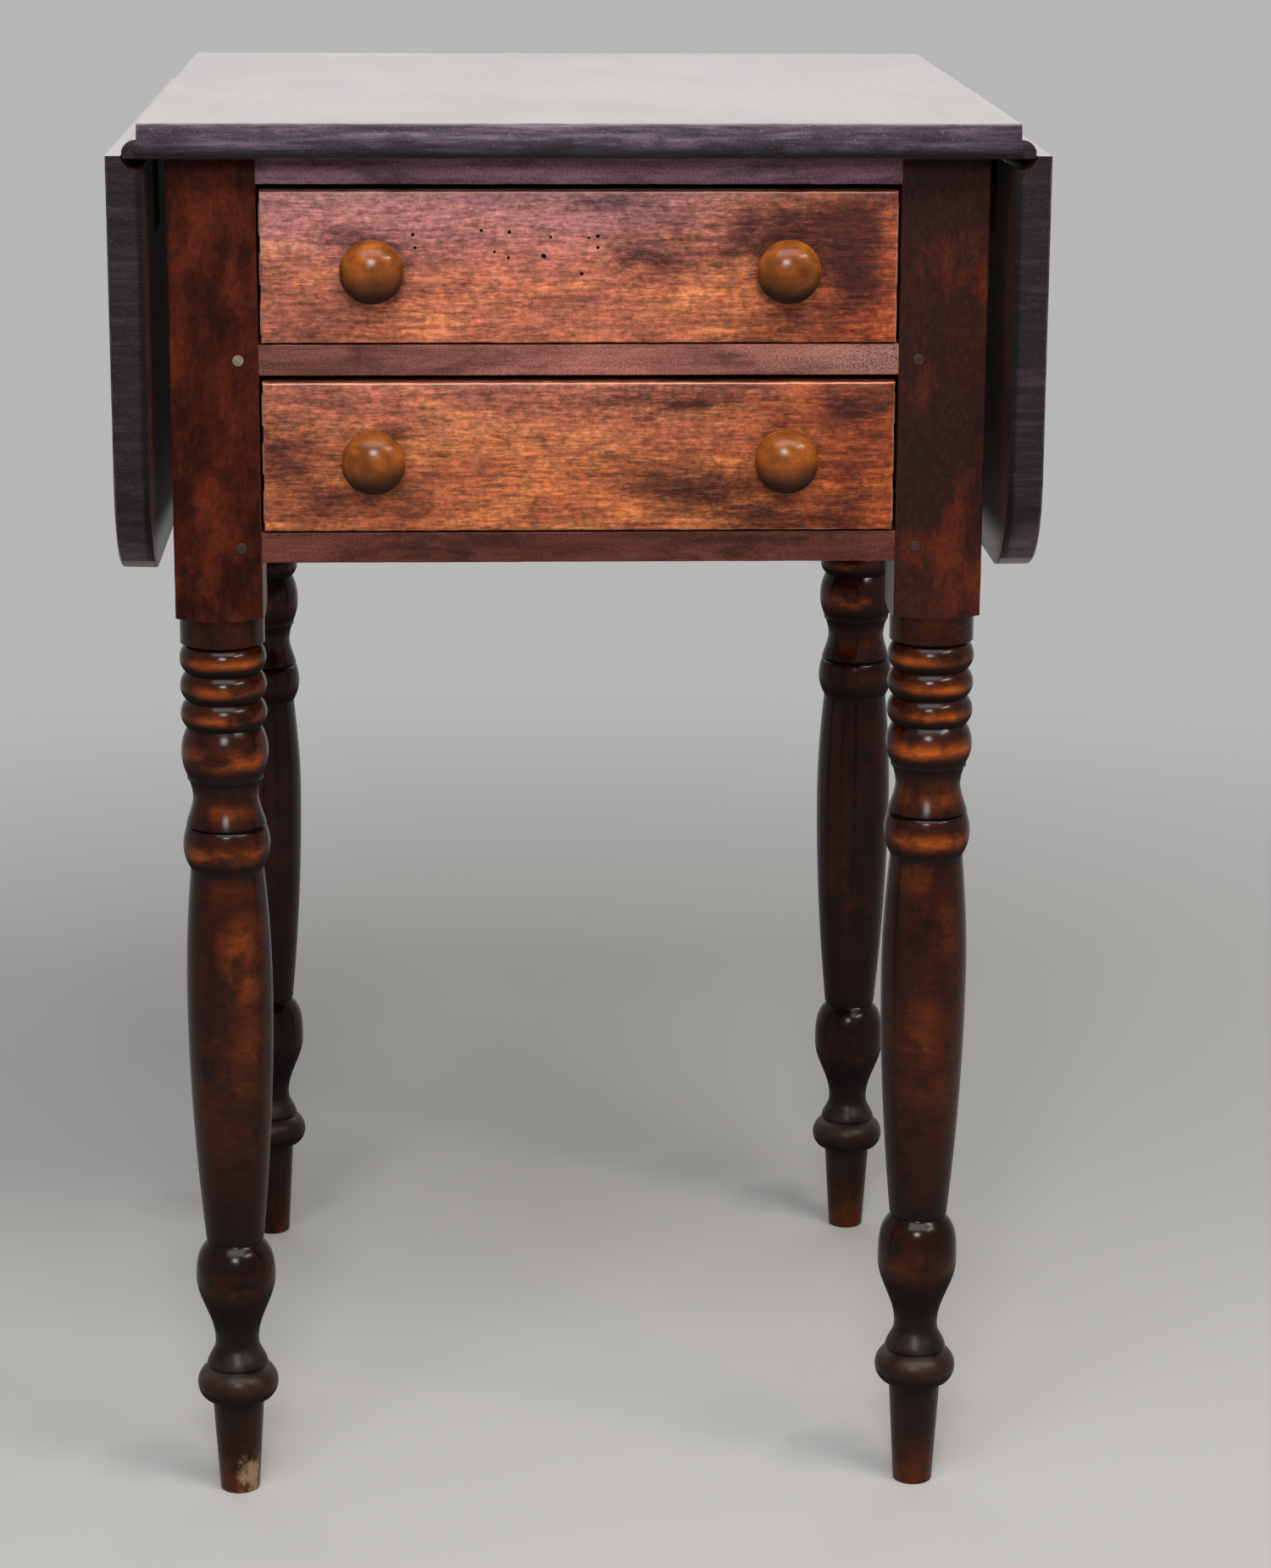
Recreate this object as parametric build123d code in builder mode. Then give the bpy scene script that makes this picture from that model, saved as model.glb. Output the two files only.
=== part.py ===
"""A two-drawer drop-leaf work stand on turned legs, in millimetres.

+Z is up and the drawers face -Y. The origin is on the floor under the middle of the top.
Both leaves hang, both drawers are shut and the leaf supports are turned in under the top.
"""
import os
from math import sqrt

from build123d import *

# Overall sizes
table_height = 737.0
top_width = 435.0
top_depth = 480.0
top_thickness = 18.0
front_overhang = 20.0
side_overhang = 12.0
board_edge_radius = 1.5

# Rule joints and leaves
rule_step = 8.0
rule_gap = 0.4
leaf_drop = 214.0
leaf_corner_radius = 50.0

# Table hinges, two to a leaf
hinge_inset = 90.0
hinge_length = 39.0
hinge_root_gap = 0.4
hinge_gain_gap = 0.4
top_plate_width = 30.0
leaf_plate_width = 44.0
plate_thickness = 1.8
plate_inset = 0.15
plate_fit = 0.1
knuckle_radius = 2.5
knuckle_gap = 0.3
hinge_pin_radius = 1.2
hinge_pin_fit = 0.02
hinge_running_fit = 0.08
plate_screw_length = 11.0
plate_screw_row = 8.0
plate_screw_pitch = 16.0
plate_screw_spread = 24.0

# Screws and pegs
screw_head_radius = 2.8
screw_head_height = 1.5
screw_shank_radius = 1.4
screw_fit = 0.05
top_screw_head_radius = 4.0
top_screw_head_height = 2.4
top_screw_shank_radius = 2.0
top_screw_cover = 6.0
top_screw_inset = 60.5
peg_radius = 3.0
peg_length = 36.0
peg_proud = 0.4
peg_inset = 10.5
peg_fit = 0.05

# Case
post_size = 45.0
post_edge_radius = 1.2
top_rail_height = 14.0
rail_height = 16.0
rail_setback = 1.0
opening_height = 79.5
tenon_length = 18.0
tenon_depth = 24.0
tenon_shoulder = 3.0
panel_thickness = 16.0
panel_setback = 4.0
tongue_length = 12.0
tongue_thickness = 8.0
tongue_shoulder = 10.0
runner_width = 47.0
guide_height = 18.0
cleat_depth = 18.0
cleat_inset = 20.5
stop_size = 20.0
stop_depth = 10.0
stop_height = 5.0
stop_inset = 70.5
stop_gap = 0.3

# Swinging leaf supports
support_reach = 28.0
support_width = 18.0
support_thickness = 8.0
support_drop = 7.2
support_gap = 1.5
support_seat_gap = 0.3
support_pin_radius = 2.5
support_pin_fit = 0.1
support_pin_depth = 20.0
support_pin_head_radius = 4.5
support_pin_head_height = 2.0

# Turned part of the legs: heights along the leg
shoulder_drop = 30.5
pommel_rise = 2.5
collar_height = 15.0
collar_edge = 1.0
ring_count = 3
ring_height = 14.6
fillet_height = 2.0
neck_height = 24.5
neck_rise = 15.0
quirk_height = 1.6
bulb_height = 22.0
torus_height = 17.0
torus_belly_rise = 6.5
vase_lip_rise = 9.4
vase_neck_rise = 14.7
vase_belly_rise = 50.2
waist_height = 2.5
column_swell = 137.0

# The legs were turned by hand, so the bead, the vase and the foot differ from leg to leg
front_left_bead = 25.4
front_right_bead = 20.6
rear_left_bead = 28.0
rear_right_bead = 26.2
front_left_vase = 69.0
front_right_vase = 74.5
rear_left_vase = 74.5
rear_right_vase = 74.5
front_left_foot = 54.0
front_right_foot = 59.0
rear_left_foot = 60.0
rear_right_foot = 54.0

# Turned part of the legs: how far each place is turned in from the largest radius
collar_inset = 0.75
ring_inset = 0.2
groove_inset = 3.3
bead_seat_inset = 2.8
fillet_inset = 3.3
neck_inset = 5.5
flare_inset = 1.7
quirk_depth = 1.3
bulb_seat_inset = 3.5
waist_inset = 7.2
vase_belly_inset = 1.25
vase_neck_inset = 10.8
vase_lip_inset = 10.2
vase_flare_inset = 6.1
torus_inset = 0.9
torus_top_inset = 6.1
torus_seat_inset = 4.1
ankle_inset = 8.6
foot_inset = 12.0

# Drawers
drawer_front_thickness = 18.0
drawer_proud = 1.0
drawer_top_gap = 3.0
drawer_floor_gap = 0.5
drawer_side_gap = 0.8
drawer_rear_gap = 10.0
drawer_edge_radius = 1.2
side_thickness = 11.0
side_running_gap = 0.2
side_step_down = 2.0
back_thickness = 10.0
back_step_down = 4.0
bottom_rise = 7.0
bottom_thickness = 7.0
bottom_groove = 5.0
bottom_fit = 0.3
dovetail_blind = 5.0
dovetail_count = 3
dovetail_root = 12.0
dovetail_flare = 2.0
nail_radius = 1.0
nail_length = 20.0
nail_count = 3
nail_inset = 40.0
nail_fit = 0.05

# Knobs
knob_inset = 56.2
knob_radius = 16.0
knob_projection = 27.0
knob_base_radius = 14.0
knob_base_height = 3.0
knob_neck_radius = 6.5
knob_neck_rise = 8.0
knob_rim_rise = 17.0
knob_tenon_radius = 5.0
knob_fit = 0.1

# Places worked out from the sizes
sides = {"left": -1, "right": 1}
ends = {"front": -1, "rear": 1}
pivot_x = top_width / 2
underside = table_height - top_thickness
pivot_z = underside + knuckle_radius
rule_radius = top_thickness - rule_step - knuckle_radius
cove_radius = rule_radius + rule_gap
hinge_root = knuckle_radius + hinge_root_gap
plate_low = underside + plate_inset
hinge_places = (hinge_inset - top_depth / 2, top_depth / 2 - hinge_inset)

turned_radius = post_size / 2
post_x = top_width / 2 - side_overhang - turned_radius
post_y = top_depth / 2 - front_overhang - turned_radius
inner_x = post_x - turned_radius
inner_y = post_y - turned_radius
front_face = -(post_y + turned_radius)

upper_floor = underside - top_rail_height - opening_height
lower_floor = upper_floor - rail_height - opening_height
case_bottom = lower_floor - rail_height
shoulder = case_bottom - shoulder_drop
floors = {"upper": upper_floor, "lower": lower_floor}
bead_heights = {
    "front": {"left": front_left_bead, "right": front_right_bead},
    "rear": {"left": rear_left_bead, "right": rear_right_bead},
}
vase_heights = {
    "front": {"left": front_left_vase, "right": front_right_vase},
    "rear": {"left": rear_left_vase, "right": rear_right_vase},
}
foot_heights = {
    "front": {"left": front_left_foot, "right": front_right_foot},
    "rear": {"left": rear_left_foot, "right": rear_right_foot},
}

panel_x = post_x + turned_radius - panel_setback - panel_thickness / 2
panel_inner_x = panel_x - panel_thickness / 2
panel_y = post_y + turned_radius - panel_setback - panel_thickness / 2
panel_inner_y = panel_y - panel_thickness / 2
rail_y = (front_face + rail_setback - inner_y) / 2
cleat_y = panel_inner_y - cleat_depth / 2

support_top = underside - support_drop
support_low = support_top - support_thickness
support_length = pivot_x - panel_x + support_reach
notch_floor = support_low - support_seat_gap

drawer_face = front_face - drawer_proud
drawer_inner_face = drawer_face + drawer_front_thickness
drawer_half_width = inner_x - drawer_side_gap
drawer_inside = drawer_half_width - side_thickness
drawer_rear = panel_inner_y - drawer_rear_gap
front_height = opening_height - drawer_top_gap - drawer_floor_gap

os.makedirs("parts", exist_ok=True)


def save(builder, name):
    """Labels a finished piece and writes it."""
    builder.part.label = name
    export_step(builder.part, f"parts/{name}.step")


def block(x_span, y_span, z_span, mode=Mode.ADD):
    """Adds or cuts a box between two places along each axis."""
    spans = [sorted(span) for span in (x_span, y_span, z_span)]
    with Locations(tuple((low + high) / 2 for low, high in spans)):
        Box(*(high - low for low, high in spans), mode=mode)


def span(centre, size):
    """Gives the two ends of a size about its centre."""
    return centre - size / 2, centre + size / 2


def rods(places, radius, length, mode=Mode.ADD):
    """Adds or cuts cylinders that start on some planes and run along their normals."""
    with Locations(*places):
        Cylinder(radius, length, align=(Align.CENTER, Align.CENTER, Align.MIN), mode=mode)


def screws(places, head, head_height, shank, length, fit=0.0, mode=Mode.ADD):
    """Adds countersunk screws at some planes, or cuts their holes with a fit around them."""
    low = (Align.CENTER, Align.CENTER, Align.MIN)
    with Locations(*places):
        Cone(head + fit, shank + fit, head_height, align=low, mode=mode)
        Cylinder(shank + fit, length + fit, align=low, mode=mode)


def plate_screw_places(along, normal, start):
    """Gives the planes of one hinge plate's three screws on each hinge."""
    rows = ((plate_screw_row, -plate_screw_spread / 2), (plate_screw_row, plate_screw_spread / 2))
    rows += ((plate_screw_row + plate_screw_pitch, 0.0),)
    return [
        Plane(start + along * (hinge_root + out) + Vector(0, y + aside, 0), z_dir=normal)
        for y in hinge_places
        for out, aside in rows
    ]


def top_plate_screws(side):
    """Gives the planes of the screws that go up through the plates under the top."""
    return plate_screw_places(Vector(-side, 0, 0), (0, 0, 1), Vector(side * pivot_x, 0, plate_low))


def leaf_plate_screws(side):
    """Gives the planes of the screws that go out through the plates on a hanging leaf."""
    face = Vector(side * (pivot_x - knuckle_radius + plate_inset), 0, pivot_z)
    return plate_screw_places(Vector(0, 0, -1), (side, 0, 0), face)


plate_screw = (screw_head_radius, screw_head_height, screw_shank_radius, plate_screw_length)
top_screw_length = table_height - top_screw_cover - (underside - top_rail_height)
top_screw = (top_screw_head_radius, top_screw_head_height, top_screw_shank_radius, top_screw_length)
top_screw_xs = (top_screw_inset - inner_x, inner_x - top_screw_inset)
top_screw_places = [
    Plane((x, y, underside - top_rail_height)) for x in top_screw_xs for y in (rail_y, cleat_y)
]

# Top board, with an ovolo along each side for the rule joint
with BuildPart() as top_board:
    with BuildSketch(Plane.XZ):
        with BuildLine():
            nose_reach = sqrt(rule_radius**2 - knuckle_radius**2)
            slant = rule_radius / sqrt(2)
            Polyline((0, table_height), (pivot_x, table_height), (pivot_x, pivot_z + rule_radius))
            ThreePointArc(
                (pivot_x, pivot_z + rule_radius),
                (pivot_x + slant, pivot_z + slant),
                (pivot_x + nose_reach, underside),
            )
            Line((pivot_x + nose_reach, underside), (0, underside))
            mirror(about=Plane.YZ)
        make_face()
    extrude(amount=top_depth / 2, both=True)
    long_edges = top_board.edges().filter_by(Axis.X).group_by(Axis.Z)
    fillet(long_edges[0] + long_edges[-1], radius=board_edge_radius)
    for side in sides.values():
        for y in hinge_places:
            gain = span(y, hinge_length + 2 * hinge_gain_gap)
            plate_end = pivot_x - hinge_root - top_plate_width - plate_fit
            plate_top = plate_low + plate_thickness + plate_fit
            block((side * plate_end, side * pivot_x), gain, (underside, plate_top), Mode.SUBTRACT)
            swing = (side * (pivot_x - hinge_root), side * (pivot_x + cove_radius))
            block(swing, gain, (underside, pivot_z), Mode.SUBTRACT)
            bed = Plane((side * pivot_x, gain[0], pivot_z), z_dir=(0, 1, 0))
            rods([bed], knuckle_radius + hinge_gain_gap, gain[1] - gain[0], Mode.SUBTRACT)
        screws(top_plate_screws(side), *plate_screw, screw_fit, Mode.SUBTRACT)
    screws(top_screw_places, *top_screw, screw_fit, Mode.SUBTRACT)
save(top_board, "top_board")


def rail_span(floor_height, height):
    """Gives the lowest and highest place of a rail's tenon, for the rail whose top is given."""
    return floor_height - height + tenon_shoulder, floor_height - tenon_shoulder


rails = {
    "top_rail": (underside, top_rail_height),
    "middle_rail": (upper_floor, rail_height),
    "bottom_rail": (lower_floor, rail_height),
}
tongue_span = (case_bottom + tongue_shoulder, underside - tongue_shoulder)
peg_x = inner_x + peg_inset
peg_start = front_face - peg_proud
peg_places = [
    Plane((side * peg_x, peg_start, floor_height - rail_height / 2), z_dir=(0, 1, 0))
    for side in sides.values()
    for floor_height in floors.values()
]


def build_leg(side, end, bead_height, vase_height, foot_height):
    """Builds one leg: a square post over a turned leg, with the mortises of what joins it."""
    x, y = side * post_x, end * post_y
    ring_top = shoulder - collar_height
    bead_top = ring_top - ring_count * ring_height
    bead_low = bead_top - bead_height
    neck_top = bead_low - fillet_height
    neck_low = neck_top - neck_height
    bulb_top = neck_low - quirk_height
    column_top = bulb_top - bulb_height
    torus_top = foot_height + torus_height
    vase_low = torus_top + quirk_height
    vase_top = vase_low + vase_height
    column_low = vase_top + waist_height
    groove = turned_radius - groove_inset
    flare = turned_radius - flare_inset
    bulb_seat = turned_radius - bulb_seat_inset
    waist = turned_radius - waist_inset
    vase_flare = turned_radius - vase_flare_inset
    torus_seat = turned_radius - torus_seat_inset
    with BuildPart() as leg:
        block(span(x, post_size), span(y, post_size), (shoulder, underside))
        fillet(leg.edges().filter_by(Axis.Z), radius=post_edge_radius)
        with BuildSketch(Plane((x, y, 0), z_dir=(0, -1, 0), x_dir=(1, 0, 0))):
            corner_reach = turned_radius * (sqrt(2) - 1)
            pommel_edge = shoulder + pommel_rise * turned_radius / corner_reach
            Polygon((turned_radius, shoulder), (post_size, shoulder), (post_size, pommel_edge), align=None)
        revolve(axis=Axis((x, y, 0), (0, 0, 1)), mode=Mode.SUBTRACT)
        with BuildSketch(Plane((x, y, 0), z_dir=(0, -1, 0), x_dir=(1, 0, 0))):
            with BuildLine():
                Polyline(
                    (0, 0),
                    (turned_radius - foot_inset, 0),
                    (turned_radius - ankle_inset, foot_height),
                    (torus_seat, foot_height),
                )
                ThreePointArc(
                    (torus_seat, foot_height),
                    (turned_radius - torus_inset, foot_height + torus_belly_rise),
                    (turned_radius - torus_top_inset, torus_top),
                )
                Polyline(
                    (turned_radius - torus_top_inset, torus_top),
                    (vase_flare - quirk_depth, torus_top + quirk_height / 2),
                    (vase_flare, vase_low),
                )
                Spline(
                    (vase_flare, vase_low),
                    (turned_radius - vase_lip_inset, vase_low + vase_lip_rise),
                    (turned_radius - vase_neck_inset, vase_low + vase_neck_rise),
                    (turned_radius - vase_belly_inset, vase_low + vase_belly_rise),
                    (waist, vase_top),
                    tangents=[(-0.15, 1), (-0.4, 1), (0, 1), (0, 1), (-1, 0.9)],
                )
                Polyline(
                    (waist, vase_top),
                    (waist - quirk_depth / 2, vase_top + waist_height / 2),
                    (waist, column_low),
                )
                Spline(
                    (waist, column_low),
                    (turned_radius, column_low + column_swell),
                    (bulb_seat, column_top),
                    tangents=[(0.1, 1), (0, 1), (-0.1, 1)],
                )
                ThreePointArc(
                    (bulb_seat, column_top),
                    (turned_radius, column_top + bulb_height / 2),
                    (flare, bulb_top),
                )
                Polyline(
                    (flare, bulb_top),
                    (flare - quirk_depth, bulb_top + quirk_height / 2),
                    (flare, neck_low),
                )
                Spline(
                    (flare, neck_low),
                    (turned_radius - neck_inset, neck_low + neck_rise),
                    (turned_radius - fillet_inset, neck_top),
                    tangents=[(-0.25, 1), (0, 1), (0.45, 1)],
                )
                Polyline(
                    (turned_radius - fillet_inset, neck_top),
                    (turned_radius - bead_seat_inset, neck_top),
                    (turned_radius - bead_seat_inset, bead_low),
                )
                ThreePointArc(
                    (turned_radius - bead_seat_inset, bead_low),
                    (turned_radius, bead_low + bead_height / 2),
                    (groove, bead_top),
                )
                for ring in range(ring_count):
                    ring_low = bead_top + ring * ring_height
                    ThreePointArc(
                        (groove, ring_low),
                        (turned_radius - ring_inset, ring_low + ring_height / 2),
                        (groove, ring_low + ring_height),
                    )
                Polyline(
                    (groove, ring_top),
                    (turned_radius - collar_inset, ring_top + collar_edge),
                    (turned_radius - collar_inset, shoulder),
                    (0, shoulder),
                    (0, 0),
                )
            make_face()
        revolve(axis=Axis((x, y, 0), (0, 0, 1)))
        panel_tongue = (end * inner_y, end * (inner_y + tongue_length))
        block(span(side * panel_x, tongue_thickness), panel_tongue, tongue_span, Mode.SUBTRACT)
        if end == ends["front"]:
            for rail_top, height in rails.values():
                tenon = (side * inner_x, side * (inner_x + tenon_length))
                block(tenon, span(rail_y, tenon_depth), rail_span(rail_top, height), Mode.SUBTRACT)
            rods(peg_places, peg_radius + peg_fit, peg_length + peg_fit, Mode.SUBTRACT)
        else:
            back_tongue = (side * inner_x, side * (inner_x + tongue_length))
            block(back_tongue, span(panel_y, tongue_thickness), tongue_span, Mode.SUBTRACT)
    return leg


for end_name, end in ends.items():
    for side_name, side in sides.items():
        heights = [group[end_name][side_name] for group in (bead_heights, vase_heights, foot_heights)]
        save(build_leg(side, end, *heights), f"{end_name}_{side_name}_leg")

# Rails across the front, tenoned into the posts
for rail_name, (rail_top, height) in rails.items():
    with BuildPart() as rail:
        rail_depth = (front_face + rail_setback, -inner_y)
        block((-inner_x, inner_x), rail_depth, (rail_top - height, rail_top))
        tenons = inner_x + tenon_length
        block((-tenons, tenons), span(rail_y, tenon_depth), rail_span(rail_top, height))
        rods(peg_places, peg_radius + peg_fit, peg_length + peg_fit, Mode.SUBTRACT)
        screws(top_screw_places, *top_screw, screw_fit, Mode.SUBTRACT)
    save(rail, rail_name)

# Pegs that lock the tenons of the middle and bottom rails
with BuildPart() as joint_pegs:
    rods(peg_places, peg_radius, peg_length)
save(joint_pegs, "joint_pegs")

# Side panels, notched for the supports, and the back panel
for side_name, side in sides.items():
    with BuildPart() as side_panel:
        panel_span = span(side * panel_x, panel_thickness)
        block(panel_span, (-inner_y, inner_y), (case_bottom, underside))
        tongues = inner_y + tongue_length
        block(span(side * panel_x, tongue_thickness), (-tongues, tongues), tongue_span)
        notch = (-support_width / 2 - support_gap, support_length + support_gap)
        block(panel_span, notch, (notch_floor, underside), Mode.SUBTRACT)
        pin_hole = Plane((side * panel_x, 0, support_low - support_pin_depth))
        rods([pin_hole], support_pin_radius + screw_fit, support_pin_depth, Mode.SUBTRACT)
    save(side_panel, f"{side_name}_side_panel")

with BuildPart() as back_panel:
    block((-inner_x, inner_x), span(panel_y, panel_thickness), (case_bottom, underside))
    back_tongues = inner_x + tongue_length
    block((-back_tongues, back_tongues), span(panel_y, tongue_thickness), tongue_span)
save(back_panel, "back_panel")

# Strips inside the case: runners under the drawers, guides beside them and kickers above
runner_inner_x = panel_inner_x - runner_width
for side_name, side in sides.items():
    strip = (side * runner_inner_x, side * panel_inner_x)
    for level, floor_height in floors.items():
        with BuildPart() as runner:
            block(strip, (-inner_y, inner_y), (floor_height - rail_height, floor_height))
        save(runner, f"{level}_{side_name}_runner")
        with BuildPart() as guide:
            beside = (side * inner_x, side * panel_inner_x)
            block(beside, (-inner_y, inner_y), (floor_height, floor_height + guide_height))
        save(guide, f"{level}_{side_name}_guide")
    with BuildPart() as kicker:
        kicker_end = -support_width / 2 - 2 * support_gap
        block(strip, (-inner_y, kicker_end), (underside - top_rail_height, underside))
    save(kicker, f"{side_name}_kicker")

# Cleat inside the back panel, and the screws that hold the top down
with BuildPart() as rear_cleat:
    cleat_across = (cleat_inset - inner_x, inner_x - cleat_inset)
    block(cleat_across, span(cleat_y, cleat_depth), (underside - top_rail_height, underside))
    screws(top_screw_places, *top_screw, screw_fit, Mode.SUBTRACT)
save(rear_cleat, "rear_cleat")

with BuildPart() as top_screws:
    screws(top_screw_places, *top_screw)
save(top_screws, "top_screws")

# Blocks on the rails that stop the drawer fronts
with BuildPart() as drawer_stops:
    for floor_height in floors.values():
        stop_start = drawer_inner_face + stop_gap
        for x in (stop_inset - inner_x, inner_x - stop_inset):
            stop_height_span = (floor_height, floor_height + stop_height)
            block(span(x, stop_size), (stop_start, stop_start + stop_depth), stop_height_span)
save(drawer_stops, "drawer_stops")


def knuckle_spans(y):
    """Gives the three stretches of a hinge's barrel: two outer ones and the one between them."""
    ends_of_hinge = span(y, hinge_length)
    middle = span(y, hinge_length / 3)
    outer = [(ends_of_hinge[0], middle[0]), (middle[1], ends_of_hinge[1])]
    inner = (middle[0] + knuckle_gap, middle[1] - knuckle_gap)
    return outer, inner


for side_name, side in sides.items():
    barrel_axis = Vector(side * pivot_x, 0, pivot_z)

    # Hinge plates let into the underside of the top, with the outer knuckles
    with BuildPart() as top_plates:
        plate_height = (plate_low, plate_low + plate_thickness)
        plate_root = side * (pivot_x - hinge_root)
        plate_tip = side * (pivot_x - hinge_root - top_plate_width)
        for y in hinge_places:
            block((plate_root, plate_tip), span(y, hinge_length), plate_height)
            for stretch in knuckle_spans(y)[0]:
                block((side * pivot_x, plate_root), stretch, plate_height)
                knuckle = Plane(barrel_axis + Vector(0, stretch[0], 0), z_dir=(0, 1, 0))
                rods([knuckle], knuckle_radius, stretch[1] - stretch[0])
            bore = Plane(barrel_axis + Vector(0, y - hinge_length / 2, 0), z_dir=(0, 1, 0))
            rods([bore], hinge_pin_radius + hinge_pin_fit, hinge_length, Mode.SUBTRACT)
        screws(top_plate_screws(side), *plate_screw, screw_fit, Mode.SUBTRACT)
    save(top_plates, f"{side_name}_top_hinge_plates")

    # Hinge plates let into the leaf, each with the middle knuckle
    with BuildPart() as leaf_plates:
        outer_face = pivot_x - knuckle_radius + plate_inset
        plate_across = (side * outer_face, side * (outer_face + plate_thickness))
        for y in hinge_places:
            plate_drop = (pivot_z - hinge_root, pivot_z - hinge_root - leaf_plate_width)
            block(plate_across, span(y, hinge_length), plate_drop)
            stretch = knuckle_spans(y)[1]
            block(plate_across, stretch, (pivot_z, pivot_z - hinge_root))
            knuckle = Plane(barrel_axis + Vector(0, stretch[0], 0), z_dir=(0, 1, 0))
            rods([knuckle], knuckle_radius, stretch[1] - stretch[0])
            bore_radius = hinge_pin_radius + hinge_running_fit
            rods([knuckle], bore_radius, stretch[1] - stretch[0], Mode.SUBTRACT)
        screws(leaf_plate_screws(side), *plate_screw, screw_fit, Mode.SUBTRACT)
    save(leaf_plates, f"{side_name}_leaf_hinge_plates")

    with BuildPart() as hinge_pins:
        for y in hinge_places:
            pin = Plane(barrel_axis + Vector(0, y - hinge_length / 2, 0), z_dir=(0, 1, 0))
            rods([pin], hinge_pin_radius, hinge_length)
    save(hinge_pins, f"{side_name}_hinge_pins")

    with BuildPart() as top_hinge_screws:
        screws(top_plate_screws(side), *plate_screw)
    save(top_hinge_screws, f"{side_name}_top_hinge_screws")

    with BuildPart() as leaf_hinge_screws:
        screws(leaf_plate_screws(side), *plate_screw)
    save(leaf_hinge_screws, f"{side_name}_leaf_hinge_screws")

    # Hanging leaf, with a cove along its upper edge that clears the top's ovolo
    with BuildPart() as leaf:
        with BuildSketch(Plane.XZ):
            with BuildLine():
                outside = side * (pivot_x + rule_step + rule_radius)
                inside = side * (pivot_x - knuckle_radius)
                cove_start = sqrt(cove_radius**2 - rule_gap**2)
                slant = cove_radius / sqrt(2)
                Polyline(
                    (outside, pivot_z - leaf_drop),
                    (outside, pivot_z - rule_gap),
                    (side * (pivot_x + cove_start), pivot_z - rule_gap),
                )
                ThreePointArc(
                    (side * (pivot_x + cove_start), pivot_z - rule_gap),
                    (side * (pivot_x + slant), pivot_z - slant),
                    (side * pivot_x, pivot_z - cove_radius),
                )
                Polyline(
                    (side * pivot_x, pivot_z - cove_radius),
                    (inside, pivot_z - cove_radius),
                    (inside, pivot_z - leaf_drop),
                    (outside, pivot_z - leaf_drop),
                )
            make_face()
        extrude(amount=top_depth / 2, both=True)
        fillet(leaf.edges().filter_by(Axis.X).group_by(Axis.Z)[0], radius=leaf_corner_radius)
        outline = leaf.faces().sort_by(Axis.X)[-1 if side > 0 else 0].edges()
        fillet(outline - outline.group_by(Axis.Z)[-1], radius=board_edge_radius)
        for y in hinge_places:
            gain = span(y, hinge_length + 2 * plate_fit)
            gain_top = pivot_x - knuckle_radius + plate_inset + plate_thickness + plate_fit
            gain_low = pivot_z - hinge_root - leaf_plate_width - plate_fit
            block((inside, side * gain_top), gain, (gain_low, pivot_z), Mode.SUBTRACT)
        screws(leaf_plate_screws(side), *plate_screw, screw_fit, Mode.SUBTRACT)
    save(leaf, f"{side_name}_leaf")

    # Support that swings out under the raised leaf, and the pin it turns on
    with BuildPart() as support:
        inward = panel_x - support_length + support_width / 2
        with BuildSketch(Plane.XY.offset(support_low)):
            with Locations((side * (panel_x + inward) / 2, 0)):
                SlotCenterToCenter(panel_x - inward, support_width)
        extrude(amount=support_thickness)
        pin_bore = Plane((side * panel_x, 0, support_low))
        rods([pin_bore], support_pin_radius + support_pin_fit, support_thickness, Mode.SUBTRACT)
    save(support, f"{side_name}_leaf_support")

    with BuildPart() as support_pin:
        pin_foot = Plane((side * panel_x, 0, support_low - support_pin_depth))
        pin_reach = support_pin_depth + support_thickness + support_seat_gap
        rods([pin_foot], support_pin_radius, pin_reach)
        rods([pin_foot.offset(pin_reach)], support_pin_head_radius, support_pin_head_height)
    save(support_pin, f"{side_name}_support_pin")


def dovetails(root_y, tip_y, low, high):
    """Draws a row of dovetails between two heights, narrow at the root and wide at the tip."""
    pitch = (high - low) / dovetail_count
    for place in range(dovetail_count):
        z = low + pitch / 2 + place * pitch
        root, tip = dovetail_root / 2, dovetail_root / 2 + dovetail_flare
        Polygon((root_y, z - root), (tip_y, z - tip), (tip_y, z + tip), (root_y, z + root), align=None)


def build_knob(x, z):
    """Builds a turned mushroom knob whose tenon goes through the drawer front."""
    with BuildPart() as knob:
        with BuildSketch(Plane((x, drawer_face, z))):
            with BuildLine():
                neck = (knob_neck_radius, -knob_neck_rise)
                rim = (knob_radius, -knob_rim_rise)
                Polyline(
                    (0, -knob_projection),
                    (0, drawer_front_thickness),
                    (knob_tenon_radius, drawer_front_thickness),
                    (knob_tenon_radius, 0),
                    (knob_base_radius, 0),
                    (knob_base_radius, -knob_base_height),
                )
                Spline(
                    (knob_base_radius, -knob_base_height),
                    neck,
                    rim,
                    (0, -knob_projection),
                    tangents=[(-1, -0.2), (0, -1), (0, -1), (-1, 0)],
                )
            make_face()
        revolve(axis=Axis((x, 0, z), (0, 1, 0)))
    return knob


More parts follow.
